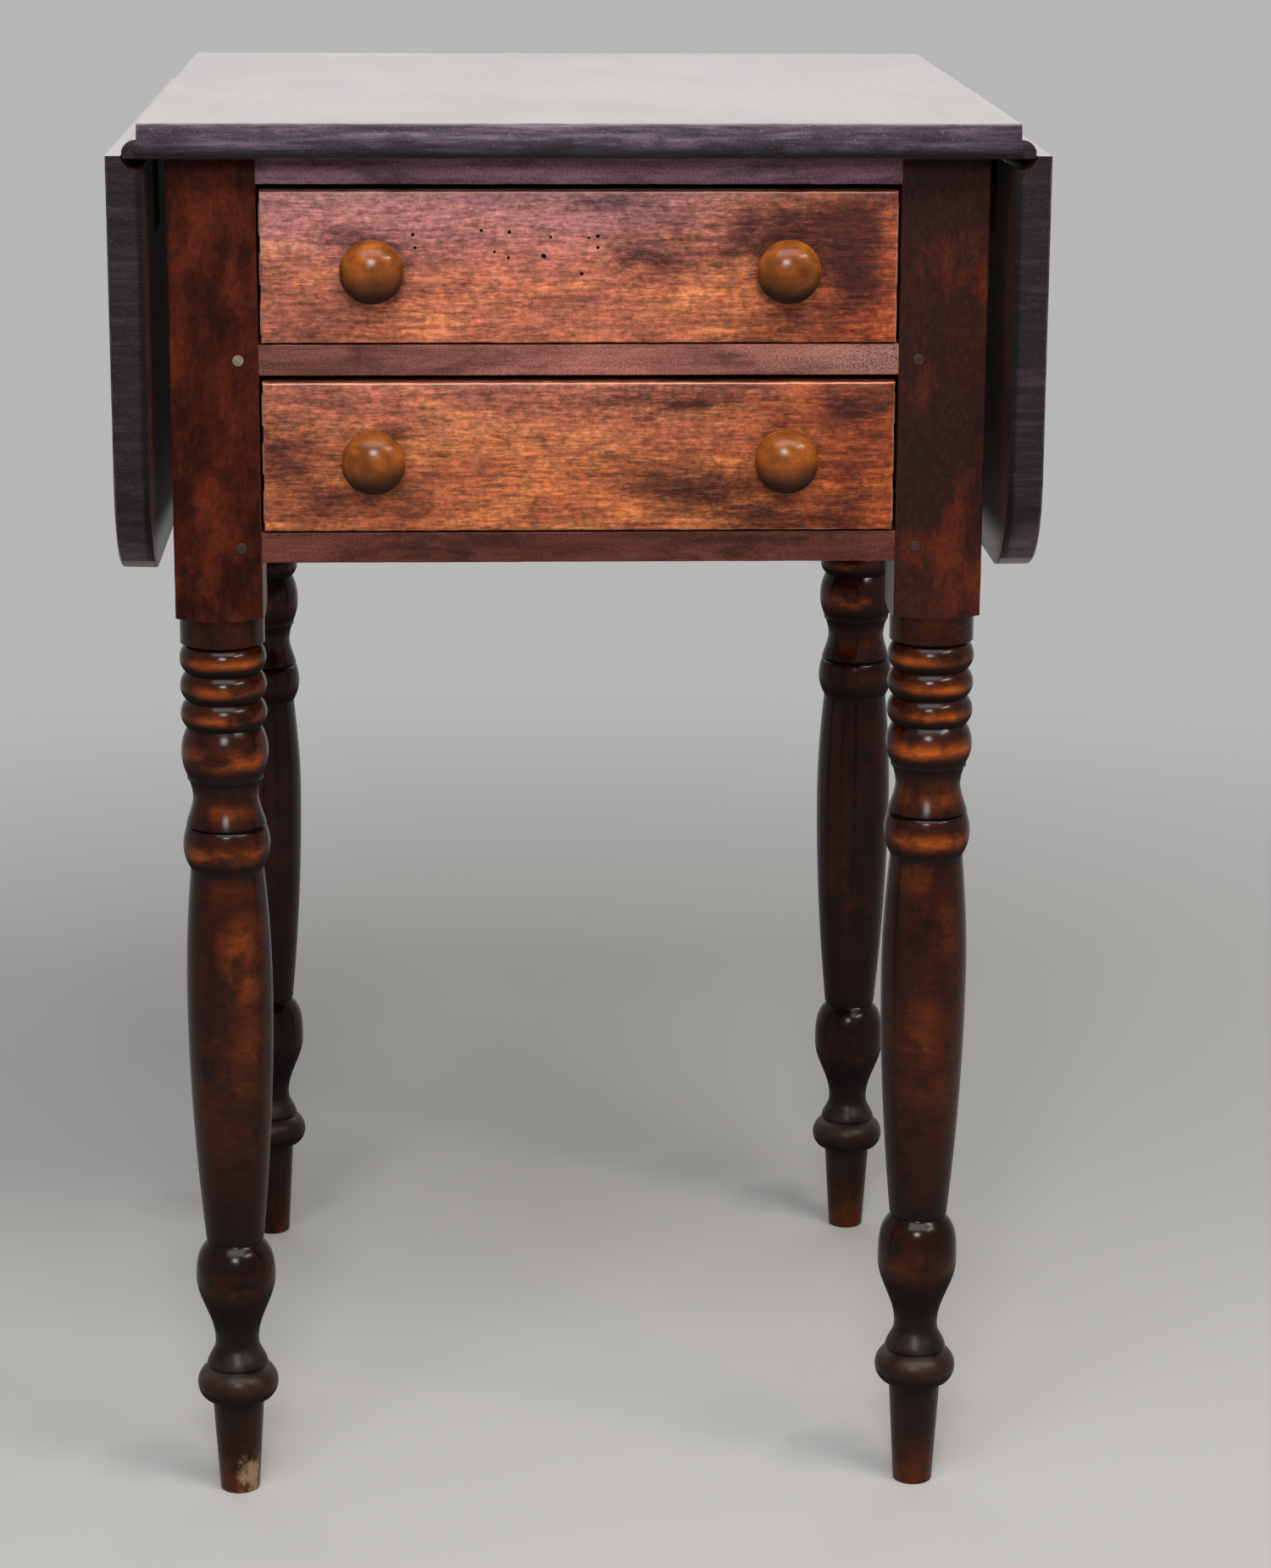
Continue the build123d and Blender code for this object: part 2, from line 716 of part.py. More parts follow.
def build_drawer(level, floor_height):
    """Builds one drawer: dovetailed front, sides and back, a bottom in grooves, and two knobs."""
    side_low = floor_height + side_running_gap
    front_low = floor_height + drawer_floor_gap
    front_top = front_low + front_height
    side_top = front_top - side_step_down
    bottom_low = floor_height + bottom_rise
    bottom_top = bottom_low + bottom_thickness
    back_low = bottom_top + bottom_fit
    back_top = side_top - back_step_down
    tail_tip = drawer_face + dovetail_blind
    back_inner_face = drawer_rear - back_thickness
    groove_height = (bottom_low - bottom_fit, back_low)
    groove_end = drawer_inner_face - bottom_groove
    knob_z = (front_low + front_top) / 2
    knob_xs = (knob_inset - drawer_half_width, drawer_half_width - knob_inset)
    nail_reach = drawer_half_width - nail_inset
    nail_pitch = 2 * nail_reach / (nail_count - 1)
    nail_xs = [place * nail_pitch - nail_reach for place in range(nail_count)]
    nails_y = drawer_rear - back_thickness / 2

    with BuildPart() as front:
        block(span(0, 2 * drawer_half_width), (drawer_face, drawer_inner_face), (front_low, front_top))
        fillet(front.faces().sort_by(Axis.Y)[0].edges(), radius=drawer_edge_radius)
        for side in sides.values():
            socket_start = min(side * drawer_half_width, side * drawer_inside)
            with BuildSketch(Plane.YZ.offset(socket_start)):
                dovetails(drawer_inner_face, tail_tip, side_low, side_top)
            extrude(amount=side_thickness, mode=Mode.SUBTRACT)
        groove_half = drawer_inside + bottom_groove
        block((-groove_half, groove_half), (groove_end, drawer_inner_face), groove_height, Mode.SUBTRACT)
        for x in knob_xs:
            bore = Plane((x, drawer_face, knob_z), z_dir=(0, 1, 0))
            rods([bore], knob_tenon_radius + knob_fit, drawer_front_thickness, Mode.SUBTRACT)
    save(front, f"{level}_drawer_front")

    for side_name, side in sides.items():
        outside, inside = side * drawer_half_width, side * drawer_inside
        with BuildPart() as drawer_side:
            block((outside, inside), (drawer_inner_face, drawer_rear), (side_low, side_top))
            block((outside, inside), (back_inner_face, drawer_rear), (back_low, back_top), Mode.SUBTRACT)
            with BuildSketch(Plane.YZ.offset(min(outside, inside))):
                dovetails(drawer_inner_face, tail_tip, side_low, side_top)
                dovetails(back_inner_face, drawer_rear, back_low, back_top)
            extrude(amount=side_thickness)
            groove = (inside, inside + side * bottom_groove)
            block(groove, (tail_tip, drawer_rear), groove_height, Mode.SUBTRACT)
        save(drawer_side, f"{level}_drawer_{side_name}_side")

    with BuildPart() as back:
        block(span(0, 2 * drawer_half_width), (back_inner_face, drawer_rear), (back_low, back_top))
        for side in sides.values():
            socket_start = min(side * drawer_half_width, side * drawer_inside)
            with BuildSketch(Plane.YZ.offset(socket_start)):
                dovetails(back_inner_face, drawer_rear, back_low, back_top)
            extrude(amount=side_thickness, mode=Mode.SUBTRACT)
        for x in nail_xs:
            hole = Plane((x, nails_y, bottom_low))
            rods([hole], nail_radius + nail_fit, nail_length + nail_fit, Mode.SUBTRACT)
    save(back, f"{level}_drawer_back")

    with BuildPart() as bottom:
        bottom_half = drawer_inside + bottom_groove - bottom_fit
        block((-bottom_half, bottom_half), (groove_end + bottom_fit, drawer_rear), (bottom_low, bottom_top))
        for x in nail_xs:
            hole = Plane((x, nails_y, bottom_low))
            rods([hole], nail_radius + nail_fit, bottom_thickness, Mode.SUBTRACT)
    save(bottom, f"{level}_drawer_bottom")

    with BuildPart() as nails:
        for x in nail_xs:
            rods([Plane((x, nails_y, bottom_low))], nail_radius, nail_length)
    save(nails, f"{level}_drawer_nails")

    for side_name, x in zip(sides, knob_xs):
        save(build_knob(x, knob_z), f"{level}_{side_name}_knob")


for level, floor_height in floors.items():
    build_drawer(level, floor_height)
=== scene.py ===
"""Looks of a two-drawer drop-leaf work stand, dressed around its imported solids.

Lengths are metres in the stand's own frame: +Z is up and the drawers face -Y.
"""

import math

import bmesh
import bpy
from bpy.props import FloatProperty, FloatVectorProperty, IntProperty, PointerProperty
from mathutils import Matrix, Vector


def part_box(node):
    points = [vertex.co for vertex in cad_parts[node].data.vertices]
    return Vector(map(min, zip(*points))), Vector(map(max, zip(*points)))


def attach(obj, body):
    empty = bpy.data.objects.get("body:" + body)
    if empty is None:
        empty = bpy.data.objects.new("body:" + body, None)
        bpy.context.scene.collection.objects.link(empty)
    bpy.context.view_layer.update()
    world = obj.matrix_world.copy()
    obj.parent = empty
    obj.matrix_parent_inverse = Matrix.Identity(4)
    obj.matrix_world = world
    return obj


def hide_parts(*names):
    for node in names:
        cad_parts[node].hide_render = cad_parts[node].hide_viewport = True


bl_info = {
    "name": "Drop-leaf work stand",
    "version": (1, 0, 0),
    "blender": (4, 5, 0),
    "location": "3D View > Sidebar > Work stand",
    "description": "Dresses a packed work stand with worn boards, turned legs and old finishes",
    "category": "Add Mesh",
}

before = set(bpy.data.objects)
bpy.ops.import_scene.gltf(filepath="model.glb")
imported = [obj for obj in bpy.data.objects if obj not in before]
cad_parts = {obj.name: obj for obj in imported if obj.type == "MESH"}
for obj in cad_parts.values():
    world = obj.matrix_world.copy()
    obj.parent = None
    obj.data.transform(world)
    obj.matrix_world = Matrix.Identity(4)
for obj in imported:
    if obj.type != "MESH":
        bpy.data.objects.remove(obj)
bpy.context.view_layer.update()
SIDES = {"left": -1, "right": 1}
ENDS = ("front", "rear")
LEVELS = ("upper", "lower")
MM = 0.001

# Points nearer to each other than this count as one
MERGE = 0.01 * MM

# The turn that lays a rod along Y
ALONG_Y = (math.pi / 2, 0, 0)

# Room around a hinge's barrel and around its plates, and the barrel bed's reach in and out from the pin
BARREL_SLACK = 0.4 * MM
PLATE_SLACK = 0.1 * MM
BARREL_BED = (2.9 * MM, 9 * MM)


# Properties


def length(name, description, default):
    """Makes a property that holds a length in metres."""
    settings = {"default": default, "unit": "LENGTH", "precision": 5}
    return FloatProperty(name=name, description=description, **settings)


def colour(name, description, default):
    """Makes a property that holds a colour."""
    return FloatVectorProperty(
        name=name, description=description, default=default, subtype="COLOR", size=3, min=0.0, max=1.0
    )


def angle(name, description, default):
    """Makes a property that holds an angle."""
    return FloatProperty(name=name, description=description, default=default, subtype="ANGLE")


def number(name, description, default):
    """Makes a property that holds a plain number."""
    return FloatProperty(name=name, description=description, default=default)


def per_leg(name, description, default):
    """Makes a property that holds a length for each leg: front left and right, rear left and right."""
    return FloatVectorProperty(name=name, description=description, default=default, size=4, unit="LENGTH")


class StandSizes(bpy.types.PropertyGroup):
    """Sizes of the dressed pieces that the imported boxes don't give."""

    board_edge: length("Board edge", "Rounding along the ends of the top and the leaves", 0.0017)
    board_under: length("Board underside edge", "Rounding under the ends of the top", 0.0035)
    rule_radius: length("Rule joint radius", "Radius of the round along each side of the top", 0.0075)
    rule_gap: length("Rule joint gap", "Gap between the top's round and the leaf's hollow", 0.0004)
    leaf_corner: length("Leaf corner", "Radius of a leaf's lower corners", 0.05)
    hinge_length: length("Hinge length", "Length of one table hinge along the leaf", 0.039)
    hinge_recess: length("Hinge recess", "Depth that a hinge plate is let into the wood", 0.00205)
    knuckle: length("Hinge knuckle", "Radius of a table hinge's barrel", 0.0025)
    post_edge: length("Post edge", "Rounding down the corners of a post", 0.0014)
    post_size: length("Post size", "Width of a square post", 0.045)
    shoulder: length("Shoulder height", "Height at which the post meets the turned leg", 0.4835)
    foot_heights: per_leg("Foot heights", "Height of each foot", (0.054, 0.059, 0.060, 0.054))
    vase_heights: per_leg("Vase heights", "Height of each leg's vase", (0.069, 0.0745, 0.0745, 0.0745))
    bead_heights: per_leg("Bead heights", "Height of each leg's large bead", (0.0254, 0.0206, 0.028, 0.0262))
    rail_edge: length("Rail edge", "Rounding along a rail", 0.001)
    drawer_edge: length("Drawer edge", "Rounding around a drawer front", 0.0016)
    edge_wear: length("Edge wear", "Most that handling has taken off an edge", 0.0007)
    peg_radius: length("Peg radius", "Radius of a joint peg's head", 0.003)
    turning_steps: IntProperty(name="Turning steps", description="Faces around a leg", default=80, min=24)
    knob_steps: IntProperty(name="Knob steps", description="Faces around a knob", default=64, min=24)


class StandFinishes(bpy.types.PropertyGroup):
    """Colours of the stand's finishes."""

    top_dark: colour("Top, dark", "Dark figure of the top and leaves", (0.030, 0.010, 0.007))
    top_light: colour("Top, light", "Light figure of the top and leaves", (0.100, 0.034, 0.020))
    end_grain: colour("End grain", "Ends of the top and leaves", (0.072, 0.051, 0.070))
    leaf_grain: colour("Leaf ends", "Brown in the ends of the leaves", (0.034, 0.021, 0.019))
    post_dark: colour("Post, dark", "Dark figure of the posts", (0.022, 0.0042, 0.0022))
    post_red: colour("Post, red", "Red-brown figure of the posts", (0.078, 0.0130, 0.0048))
    # Painted sheen and painted shade: the purple-grey veil that dulls and darkens the right-hand posts
    post_shaded_sheen: colour("Post, smoke", "Smoky veil on the right posts", (0.018, 0.0085, 0.0075))
    # Dark figure of the legs, and the tone of the grime and painted shade in their hollows and of the painted
    # shade on their undersides
    leg_dark: colour("Leg, dark", "Old finish in the hollows of the legs", (0.0040, 0.0010, 0.0006))
    leg_red: colour("Leg, red", "Red-brown finish of the legs", (0.025, 0.0040, 0.0012))
    # Painted amber glow on the front-facing crests and columns of the legs; also the tint of the scraped feet
    leg_amber: colour("Leg, amber", "Places where the wood of a leg glows through", (0.400, 0.080, 0.008))
    leg_dust: colour("Dust", "Dust that lies on the lowest turnings", (0.058, 0.040, 0.033))
    foot_bare: colour("Bare foot", "Wood that shows where a foot has lost its finish", (0.270, 0.170, 0.100))
    # Painted light: the top rail's light figure is raised to stay bright in the shade under the top's
    # overhang, and its purple-grey tint is a painted sheen
    rail_top: colour("Top rail", "Light figure of the top rail", (0.270, 0.135, 0.170))
    rail_middle: colour("Middle rail", "Light figure of the middle rail", (0.350, 0.124, 0.100))
    rail_bottom: colour("Bottom rail", "Light figure of the bottom rail and panels", (0.130, 0.038, 0.027))
    rail_scuff: colour("Rail, scuff", "Pale scuffs at the end of the middle rail", (0.360, 0.230, 0.180))
    drawer_amber: colour("Drawer, amber", "Light figure of the drawer fronts", (0.640, 0.215, 0.052))
    drawer_red: colour("Drawer, red", "Middle figure of the drawer fronts", (0.470, 0.118, 0.038))
    # Painted sheen: the pale purple veil over the upper part of the drawer fronts
    drawer_haze: colour("Drawer, haze", "Dull bloom on the drawer fronts", (0.360, 0.178, 0.210))
    drawer_stain: colour("Drawer, stain", "Tint of the stain in the drawer fronts", (0.090, 0.045, 0.080))
    drawer_dash: colour("Drawer, dashes", "Tint of the short dark dashes of grain", (0.300, 0.200, 0.220))
    # Redder right end of the drawer fronts: partly the wood's colour, partly painted shade
    drawer_ruddy: colour("Drawer, right end", "Tint of the redder right end", (0.780, 0.580, 0.480))
    # Rubbed edges of the drawer fronts, and the painted highlight along their upward-facing edges
    drawer_edge: colour("Drawer, edge", "Rubbed edges of the drawer fronts", (0.700, 0.360, 0.250))
    knob_amber: colour("Knob, amber", "Polished face of the knobs", (0.270, 0.070, 0.010))
    # Painted shade on the undersides and sides of the knobs
    knob_dark: colour("Knob, dark", "Undersides of the knobs", (0.014, 0.0032, 0.0008))
    bare_light: colour("Bare wood, light", "Unfinished wood inside the case", (0.430, 0.290, 0.160))
    bare_dark: colour("Bare wood, dark", "Grain of the unfinished wood", (0.260, 0.150, 0.075))
    peg_dark: colour("Peg", "Joint pegs", (0.030, 0.010, 0.007))
    peg_pale: colour("Pale peg", "The joint peg that has lost its colour", (0.150, 0.115, 0.070))
    iron: colour("Iron", "Hinge plates", (0.090, 0.075, 0.065))
    rust: colour("Rust", "Rust on the hinge plates", (0.130, 0.055, 0.025))
    steel: colour("Steel", "Screws and nails", (0.230, 0.205, 0.180))


class StandStage(bpy.types.PropertyGroup):
    """Where the camera stands and how the stand is lit."""

    camera_place: FloatVectorProperty(
        name="Camera place",
        description="Where the camera stands",
        default=(-0.05851, -2.23784, 0.91396),
        subtype="XYZ",
    )
    camera_heading: angle("Heading", "Turn of the camera about the vertical", -0.04335)
    camera_tilt: angle("Tilt", "How far the camera looks down", 0.2502)
    camera_roll: angle("Roll", "Roll of the camera", 0.0045)
    camera_lens: number("Lens", "Focal length in millimetres", 92.83)
    floor_tone: colour("Floor", "Pale floor", (0.50, 0.495, 0.488))
    far_tone: colour("Background", "Pale background that the floor fades to", (0.47, 0.47, 0.468))
    sky_level: number("Surroundings", "Strength of the light from all around", 0.30)
    front_level: number("Front lamp", "Power of the soft lamp above the camera", 27.0)
    ceiling_level: number("Ceiling panel", "Power of the large soft lamp overhead", 38.0)
    side_level: number("Side lamp", "Power of the warm lamp on the right", 26.0)
    sheen_level: number("Sheen panel", "Power of the panel that the top mirrors", 10.0)


# Modelling steps


def put_down():
    """Leaves edit mode and deselects everything."""
    active = bpy.context.view_layer.objects.active
    if active and active.mode != "OBJECT":
        bpy.ops.object.mode_set(mode="OBJECT")
    bpy.ops.object.select_all(action="DESELECT")


def take(*pieces):
    """Selects some pieces, the last one active."""
    put_down()
    for piece in pieces:
        piece.select_set(True)
        bpy.context.view_layer.objects.active = piece


def name_piece(name):
    """Applies the place of the piece just added to its mesh, and names it."""
    bpy.ops.object.transform_apply(location=True, rotation=True, scale=True)
    piece = bpy.context.view_layer.objects.active
    piece.name = piece.data.name = name
    return piece


def start_block(name, low, high):
    """Adds a block between two corners."""
    put_down()
    low, high = Vector(low), Vector(high)
    bpy.ops.mesh.primitive_cube_add(size=1, location=(low + high) / 2)
    bpy.ops.transform.resize(value=high - low)
    return name_piece(name)


def start_rod(name, centre, radius, depth, turn=(0.0, 0.0, 0.0), sides=64):
    """Adds a rod about its centre."""
    put_down()
    shape = {"vertices": sides, "radius": radius, "depth": depth}
    bpy.ops.mesh.primitive_cylinder_add(location=centre, rotation=turn, **shape)
    return name_piece(name)


def start_line(name, points):
    """Draws a chain of points by extruding a single vertex, and leaves the piece in edit mode."""
    put_down()
    bpy.ops.mesh.primitive_plane_add(size=MM)
    piece = bpy.context.view_layer.objects.active
    piece.name = piece.data.name = name
    bpy.ops.object.mode_set(mode="EDIT")
    bpy.ops.mesh.select_mode(type="VERT")
    bpy.ops.mesh.select_all(action="SELECT")
    bpy.ops.mesh.merge(type="CENTER")
    bpy.ops.transform.translate(value=points[0])
    for here, there in zip(points, points[1:]):
        bpy.ops.mesh.extrude_region_move(TRANSFORM_OT_translate={"value": Vector(there) - Vector(here)})
    return piece


def turn_piece(name, outline, centre, axis, steps):
    """Turns an outline of points about an axis, as on a lathe."""
    piece = start_line(name, outline)
    bpy.ops.mesh.select_all(action="SELECT")
    bpy.ops.mesh.spin(steps=steps, angle=2 * math.pi, center=centre, axis=axis)
    bpy.ops.mesh.select_all(action="SELECT")
    bpy.ops.mesh.remove_doubles(threshold=MERGE)
    bpy.ops.mesh.normals_make_consistent(inside=False)
    put_down()
    return piece


def pick_edges(piece, wanted):
    """Opens the piece in edit mode with the edges selected whose two ends pass a test."""
    take(piece)
    bpy.ops.object.mode_set(mode="EDIT")
    bpy.ops.mesh.select_mode(type="EDGE")
    bpy.ops.mesh.select_all(action="DESELECT")
    mesh = bmesh.from_edit_mesh(piece.data)
    for edge in mesh.edges:
        edge.select_set(wanted(edge.verts[0].co, edge.verts[1].co))
    bmesh.update_edit_mesh(piece.data)


def round_edges(piece, wanted, radius, segments=3):
    """Rounds the edges that pass a test."""
    pick_edges(piece, wanted)
    bpy.ops.mesh.bevel(offset=radius, segments=segments, affect="EDGES")
    put_down()


def divide_edges(piece, wanted, cuts):
    """Divides the edges that pass a test, so that wear can follow them."""
    pick_edges(piece, wanted)
    bpy.ops.mesh.subdivide(number_cuts=cuts)
    put_down()


def along(axis, least):
    """Gives a test for edges that run along one axis and are longer than some length."""
    others = [i for i in range(3) if i != axis]
    return lambda a, b: abs(a[axis] - b[axis]) > least and all(abs(a[i] - b[i]) < MERGE for i in others)


def apply_modifier(piece, kind, **settings):
    """Adds a modifier with some settings and applies it."""
    take(piece)
    modifier = piece.modifiers.new(kind.title(), kind)
    for key, value in settings.items():
        setattr(modifier, key, value)
    bpy.ops.object.modifier_apply(modifier=modifier.name)


def cut(piece, cutters, operation="DIFFERENCE"):
    """Cuts a piece with others, which are used up."""
    take(*cutters)
    if len(cutters) > 1:
        bpy.ops.object.join()
    tool = bpy.context.view_layer.objects.active
    apply_modifier(piece, "BOOLEAN", operation=operation, object=tool, solver="EXACT")
    take(tool)
    bpy.ops.object.delete()


def wear_edges(piece, worn, depth, patch):
    """Takes up to a depth off the worn places of a piece, in patches of some size."""
    places = piece.vertex_groups.new(name="worn")
    places.add([v.index for v in piece.data.vertices if worn(v.co)], 1.0, "REPLACE")
    pattern = bpy.data.textures.new(piece.name + "_wear", "CLOUDS")
    pattern.noise_scale = patch
    pattern.noise_depth = 3
    settings = {"texture": pattern, "texture_coords": "LOCAL", "vertex_group": "worn"}
    apply_modifier(piece, "DISPLACE", strength=-depth, mid_level=0.0, **settings)
    piece.vertex_groups.remove(piece.vertex_groups["worn"])


def copy_piece(piece, name, move):
    """Copies a piece with its own mesh to another place."""
    take(piece)
    bpy.ops.object.duplicate(linked=False)
    bpy.ops.transform.translate(value=move)
    return name_piece(name)


def hand_over(piece, coats, slot, body, *nodes, crease=35.0, choose=None):
    """Smooths a piece, gives it its finishes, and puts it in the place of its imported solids."""
    take(piece)
    piece.data.materials.clear()
    for coat in coats:
        piece.data.materials.append(coat)
    for face in piece.data.polygons:
        face.material_index = choose(face) if choose else 0
    bpy.ops.object.shade_smooth_by_angle(angle=math.radians(crease))
    apply_modifier(piece, "WEIGHTED_NORMAL", keep_sharp=True)
    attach(piece, body)
    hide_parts(*nodes)
    put_down()


def arc(start, through, end, count=12):
    """Gives points on the arc through three points, the first left out."""
    (ax, ay), (bx, by), (cx, cy) = start, through, end
    d = 2 * (ax * (by - cy) + bx * (cy - ay) + cx * (ay - by))
    a2, b2, c2 = ax * ax + ay * ay, bx * bx + by * by, cx * cx + cy * cy
    ux = (a2 * (by - cy) + b2 * (cy - ay) + c2 * (ay - by)) / d
    uy = (a2 * (cx - bx) + b2 * (ax - cx) + c2 * (bx - ax)) / d
    radius = math.hypot(ax - ux, ay - uy)
    first, middle, last = (math.atan2(y - uy, x - ux) for x, y in (start, through, end))
    if not min(first, last) <= middle <= max(first, last):
        first, last = (t + 2 * math.pi if t < 0 else t for t in (first, last))
    turns = [first + (last - first) * step / count for step in range(1, count + 1)]
    return [(ux + radius * math.cos(t), uy + radius * math.sin(t)) for t in turns]


def flow(*stations, count=12):
    """Gives points on a smooth line through stations of (point, direction), the first left out."""
    points = []
    for (start, leave), (end, arrive) in zip(stations, stations[1:]):
        p, q, u, v = Vector(start), Vector(end), Vector(leave).normalized(), Vector(arrive).normalized()
        reach = (q - p).length
        for step in range(1, count + 1):
            t = step / count
            point = (2 * t**3 - 3 * t**2 + 1) * p + (3 * t**2 - 2 * t**3) * q
            point += reach * ((t**3 - 2 * t**2 + t) * u + (t**3 - t**2) * v)
            points.append(tuple(point))
    return points


# Finishes


class Finish:
    """A procedural finish, put together from nodes on the piece's own coordinates."""

    def __init__(self, name):
        self.material = bpy.data.materials.new(name)
        self.material.use_nodes = True
        self.tree = self.material.node_tree
        self.shader = self.tree.nodes["Principled BSDF"]
        source = self.tree.nodes.new("ShaderNodeTexCoord")
        self.place = source.outputs["Object"]
        self.facing = source.outputs["Normal"]

    def fill(self, socket, value):
        """Links a socket to another, or sets it to a number, vector or colour."""
        if isinstance(value, bpy.types.NodeSocket):
            self.tree.links.new(value, socket)
        elif socket.type == "RGBA":
            socket.default_value = (*value, 1.0)
        else:
            socket.default_value = value

    def add(self, kind, values, **settings):
        """Adds a node with its settings and fills its inputs."""
        node = self.tree.nodes.new("ShaderNode" + kind)
        for key, value in settings.items():
            setattr(node, key, value)
        for key, value in values.items():
            self.fill(node.inputs[key], value)
        return node

    def noise(self, stretch, detail=4.0, roughness=0.55, distortion=0.0):
        """Gives cloudy noise with so many waves in a metre along each axis."""
        spot = self.add("Mapping", {"Vector": self.place, "Scale": stretch})
        values = {"Vector": spot.outputs[0], "Scale": 1.0, "Detail": detail}
        values |= {"Roughness": roughness, "Distortion": distortion}
        return self.add("TexNoise", values).outputs[0]

    def spot(self, centre, size):
        """Gives a soft spot: 1 at its centre and 0 at its edge."""
        spread = Vector([1 / s for s in size])
        shift = [-c * s for c, s in zip(centre, spread)]
        place = self.add("Mapping", {"Vector": self.place, "Location": shift, "Scale": spread})
        return self.add("TexGradient", {0: place.outputs[0]}, gradient_type="SPHERICAL").outputs[1]

    def axis(self, index, source=None):
        """Gives one coordinate of a place or direction."""
        return self.add("SeparateXYZ", {0: source or self.place}).outputs[index]

    def levels(self, value, low, high, new_low=0.0, new_high=1.0):
        """Spreads a range of values softly over another range."""
        values = {"Value": value, "From Min": low, "From Max": high, "To Min": new_low, "To Max": new_high}
        return self.add("MapRange", values, interpolation_type="SMOOTHSTEP").outputs[0]

    def arris(self):
        """Gives 1 on rounded edges and 0 on flat faces that are square to the axes."""
        turns = [self.reckon("ABSOLUTE", self.axis(i, self.facing)) for i in range(3)]
        squarest = self.larger(self.larger(turns[0], turns[1]), turns[2])
        return self.levels(squarest, 0.75, 0.98, 1.0, 0.0)

    def reckon(self, operation, a, b=0.0):
        """Works out a sum, product or other step between values."""
        return self.add("Math", {0: a, 1: b}, operation=operation).outputs[0]

    def times(self, a, b):
        """Multiplies two values."""
        return self.reckon("MULTIPLY", a, b)

    def plus(self, a, b):
        """Adds two values."""
        return self.reckon("ADD", a, b)

    def larger(self, a, b):
        """Gives the larger of two values."""
        return self.reckon("MAXIMUM", a, b)

    def across(self, index, *spread):
        """Spreads the place along one axis over a range, as levels does."""
        return self.levels(self.axis(index), *spread)

    def toward(self, index, *spread):
        """Spreads how far the surface faces along one axis over a range, as levels does."""
        return self.levels(self.axis(index, self.facing), *spread)

    def blend(self, share, under, over, how="MIX"):
        """Lays one colour over another."""
        return self.add("Mix", {0: share, 6: under, 7: over}, data_type="RGBA", blend_type=how).outputs[2]

    def vary(self, tone, share):
        """Darkens and lightens a colour by a share that changes over the surface."""
        return self.blend(1.0, tone, share, "MULTIPLY")

    def ramp(self, value, *stops):
        """Turns a value into a colour between stops."""
        node = self.add("ValToRGB", {0: value})
        band = node.color_ramp
        band.elements[0].position, band.elements[1].position = stops[0][0], stops[-1][0]
        band.elements[0].color, band.elements[1].color = (*stops[0][1], 1.0), (*stops[-1][1], 1.0)
        for position, tone in stops[1:-1]:
            band.elements.new(position).color = (*tone, 1.0)
        return node.outputs[0]

    def relief(self, height, depth, under=None):
        """Raises and lowers the surface a little."""
        node = self.add("Bump", {"Height": height, "Distance": depth})
        if under:
            self.fill(node.inputs["Normal"], under)
        return node.outputs[0]

    def close(self, tone, roughness, normal, specular=0.4, coat=0.0, coat_roughness=0.2, metal=0.0):
        """Fills the shader and gives the finished material."""
        values = {"Base Color": tone, "Roughness": roughness, "Normal": normal, "Metallic": metal}
        values |= {"Specular IOR Level": specular, "Coat Weight": coat, "Coat Roughness": coat_roughness}
        for key, value in values.items():
            self.fill(self.shader.inputs[key], value)
        return self.material


def stretched(grain, with_grain, across):
    """Gives waves in a metre along and across a grain that runs along one axis."""
    return [with_grain if i == grain else across for i in range(3)]


def shade(tone, share):
    """Darkens or lightens a colour."""
    return tuple(min(1.0, c * share) for c in tone)


def midway(tone, other):
    """Gives the colour halfway between two."""
    return [(a + b) / 2 for a, b in zip(tone, other)]


def lay_wood(finish, grain, dark, middle, light, figure=(5.0, 38.0), streak=0.3, pore=0.35):
    """Lays figure, streaks and pores of wood, and gives their colour and height."""
    bands = finish.noise(stretched(grain, *figure), detail=6.0, roughness=0.62, distortion=0.7)
    tone = finish.ramp(bands, (0.28, dark), (0.50, middle), (0.72, light))
    streaks = finish.noise(stretched(grain, 28.0, 420.0), detail=5.0, roughness=0.6)
    lights = finish.levels(streaks, 0.30, 0.70, 1.0 - streak, 1.0 + 0.6 * streak)
    tone = finish.vary(tone, lights)
    pores = finish.levels(finish.noise(stretched(grain, 110.0, 1300.0), detail=2.0), 0.60, 0.72)
    tone = finish.blend(finish.times(pores, pore), tone, shade(dark, 0.5))
    return tone, finish.reckon("SUBTRACT", streaks, pores)


def board_finish(tones):
    """Dark polished boards of the top and leaves."""
    finish = Finish("polished_boards")
    middle = midway(tones.top_dark, tones.top_light)
    tone, height = lay_wood(finish, 1, tones.top_dark, middle, tones.top_light, figure=(4.0, 26.0))
    clouds = finish.noise((9.0, 6.0, 9.0), detail=5.0, roughness=0.6)
    tone = finish.blend(finish.levels(clouds, 0.52, 0.75, 0.0, 0.6), tone, shade(tones.top_dark, 0.6))
    roughness = finish.levels(clouds, 0.3, 0.75, 0.33, 0.38)
    normal = finish.relief(height, 0.0001)
    return finish.close(tone, roughness, normal, specular=0.4, coat=0.5, coat_roughness=0.3)


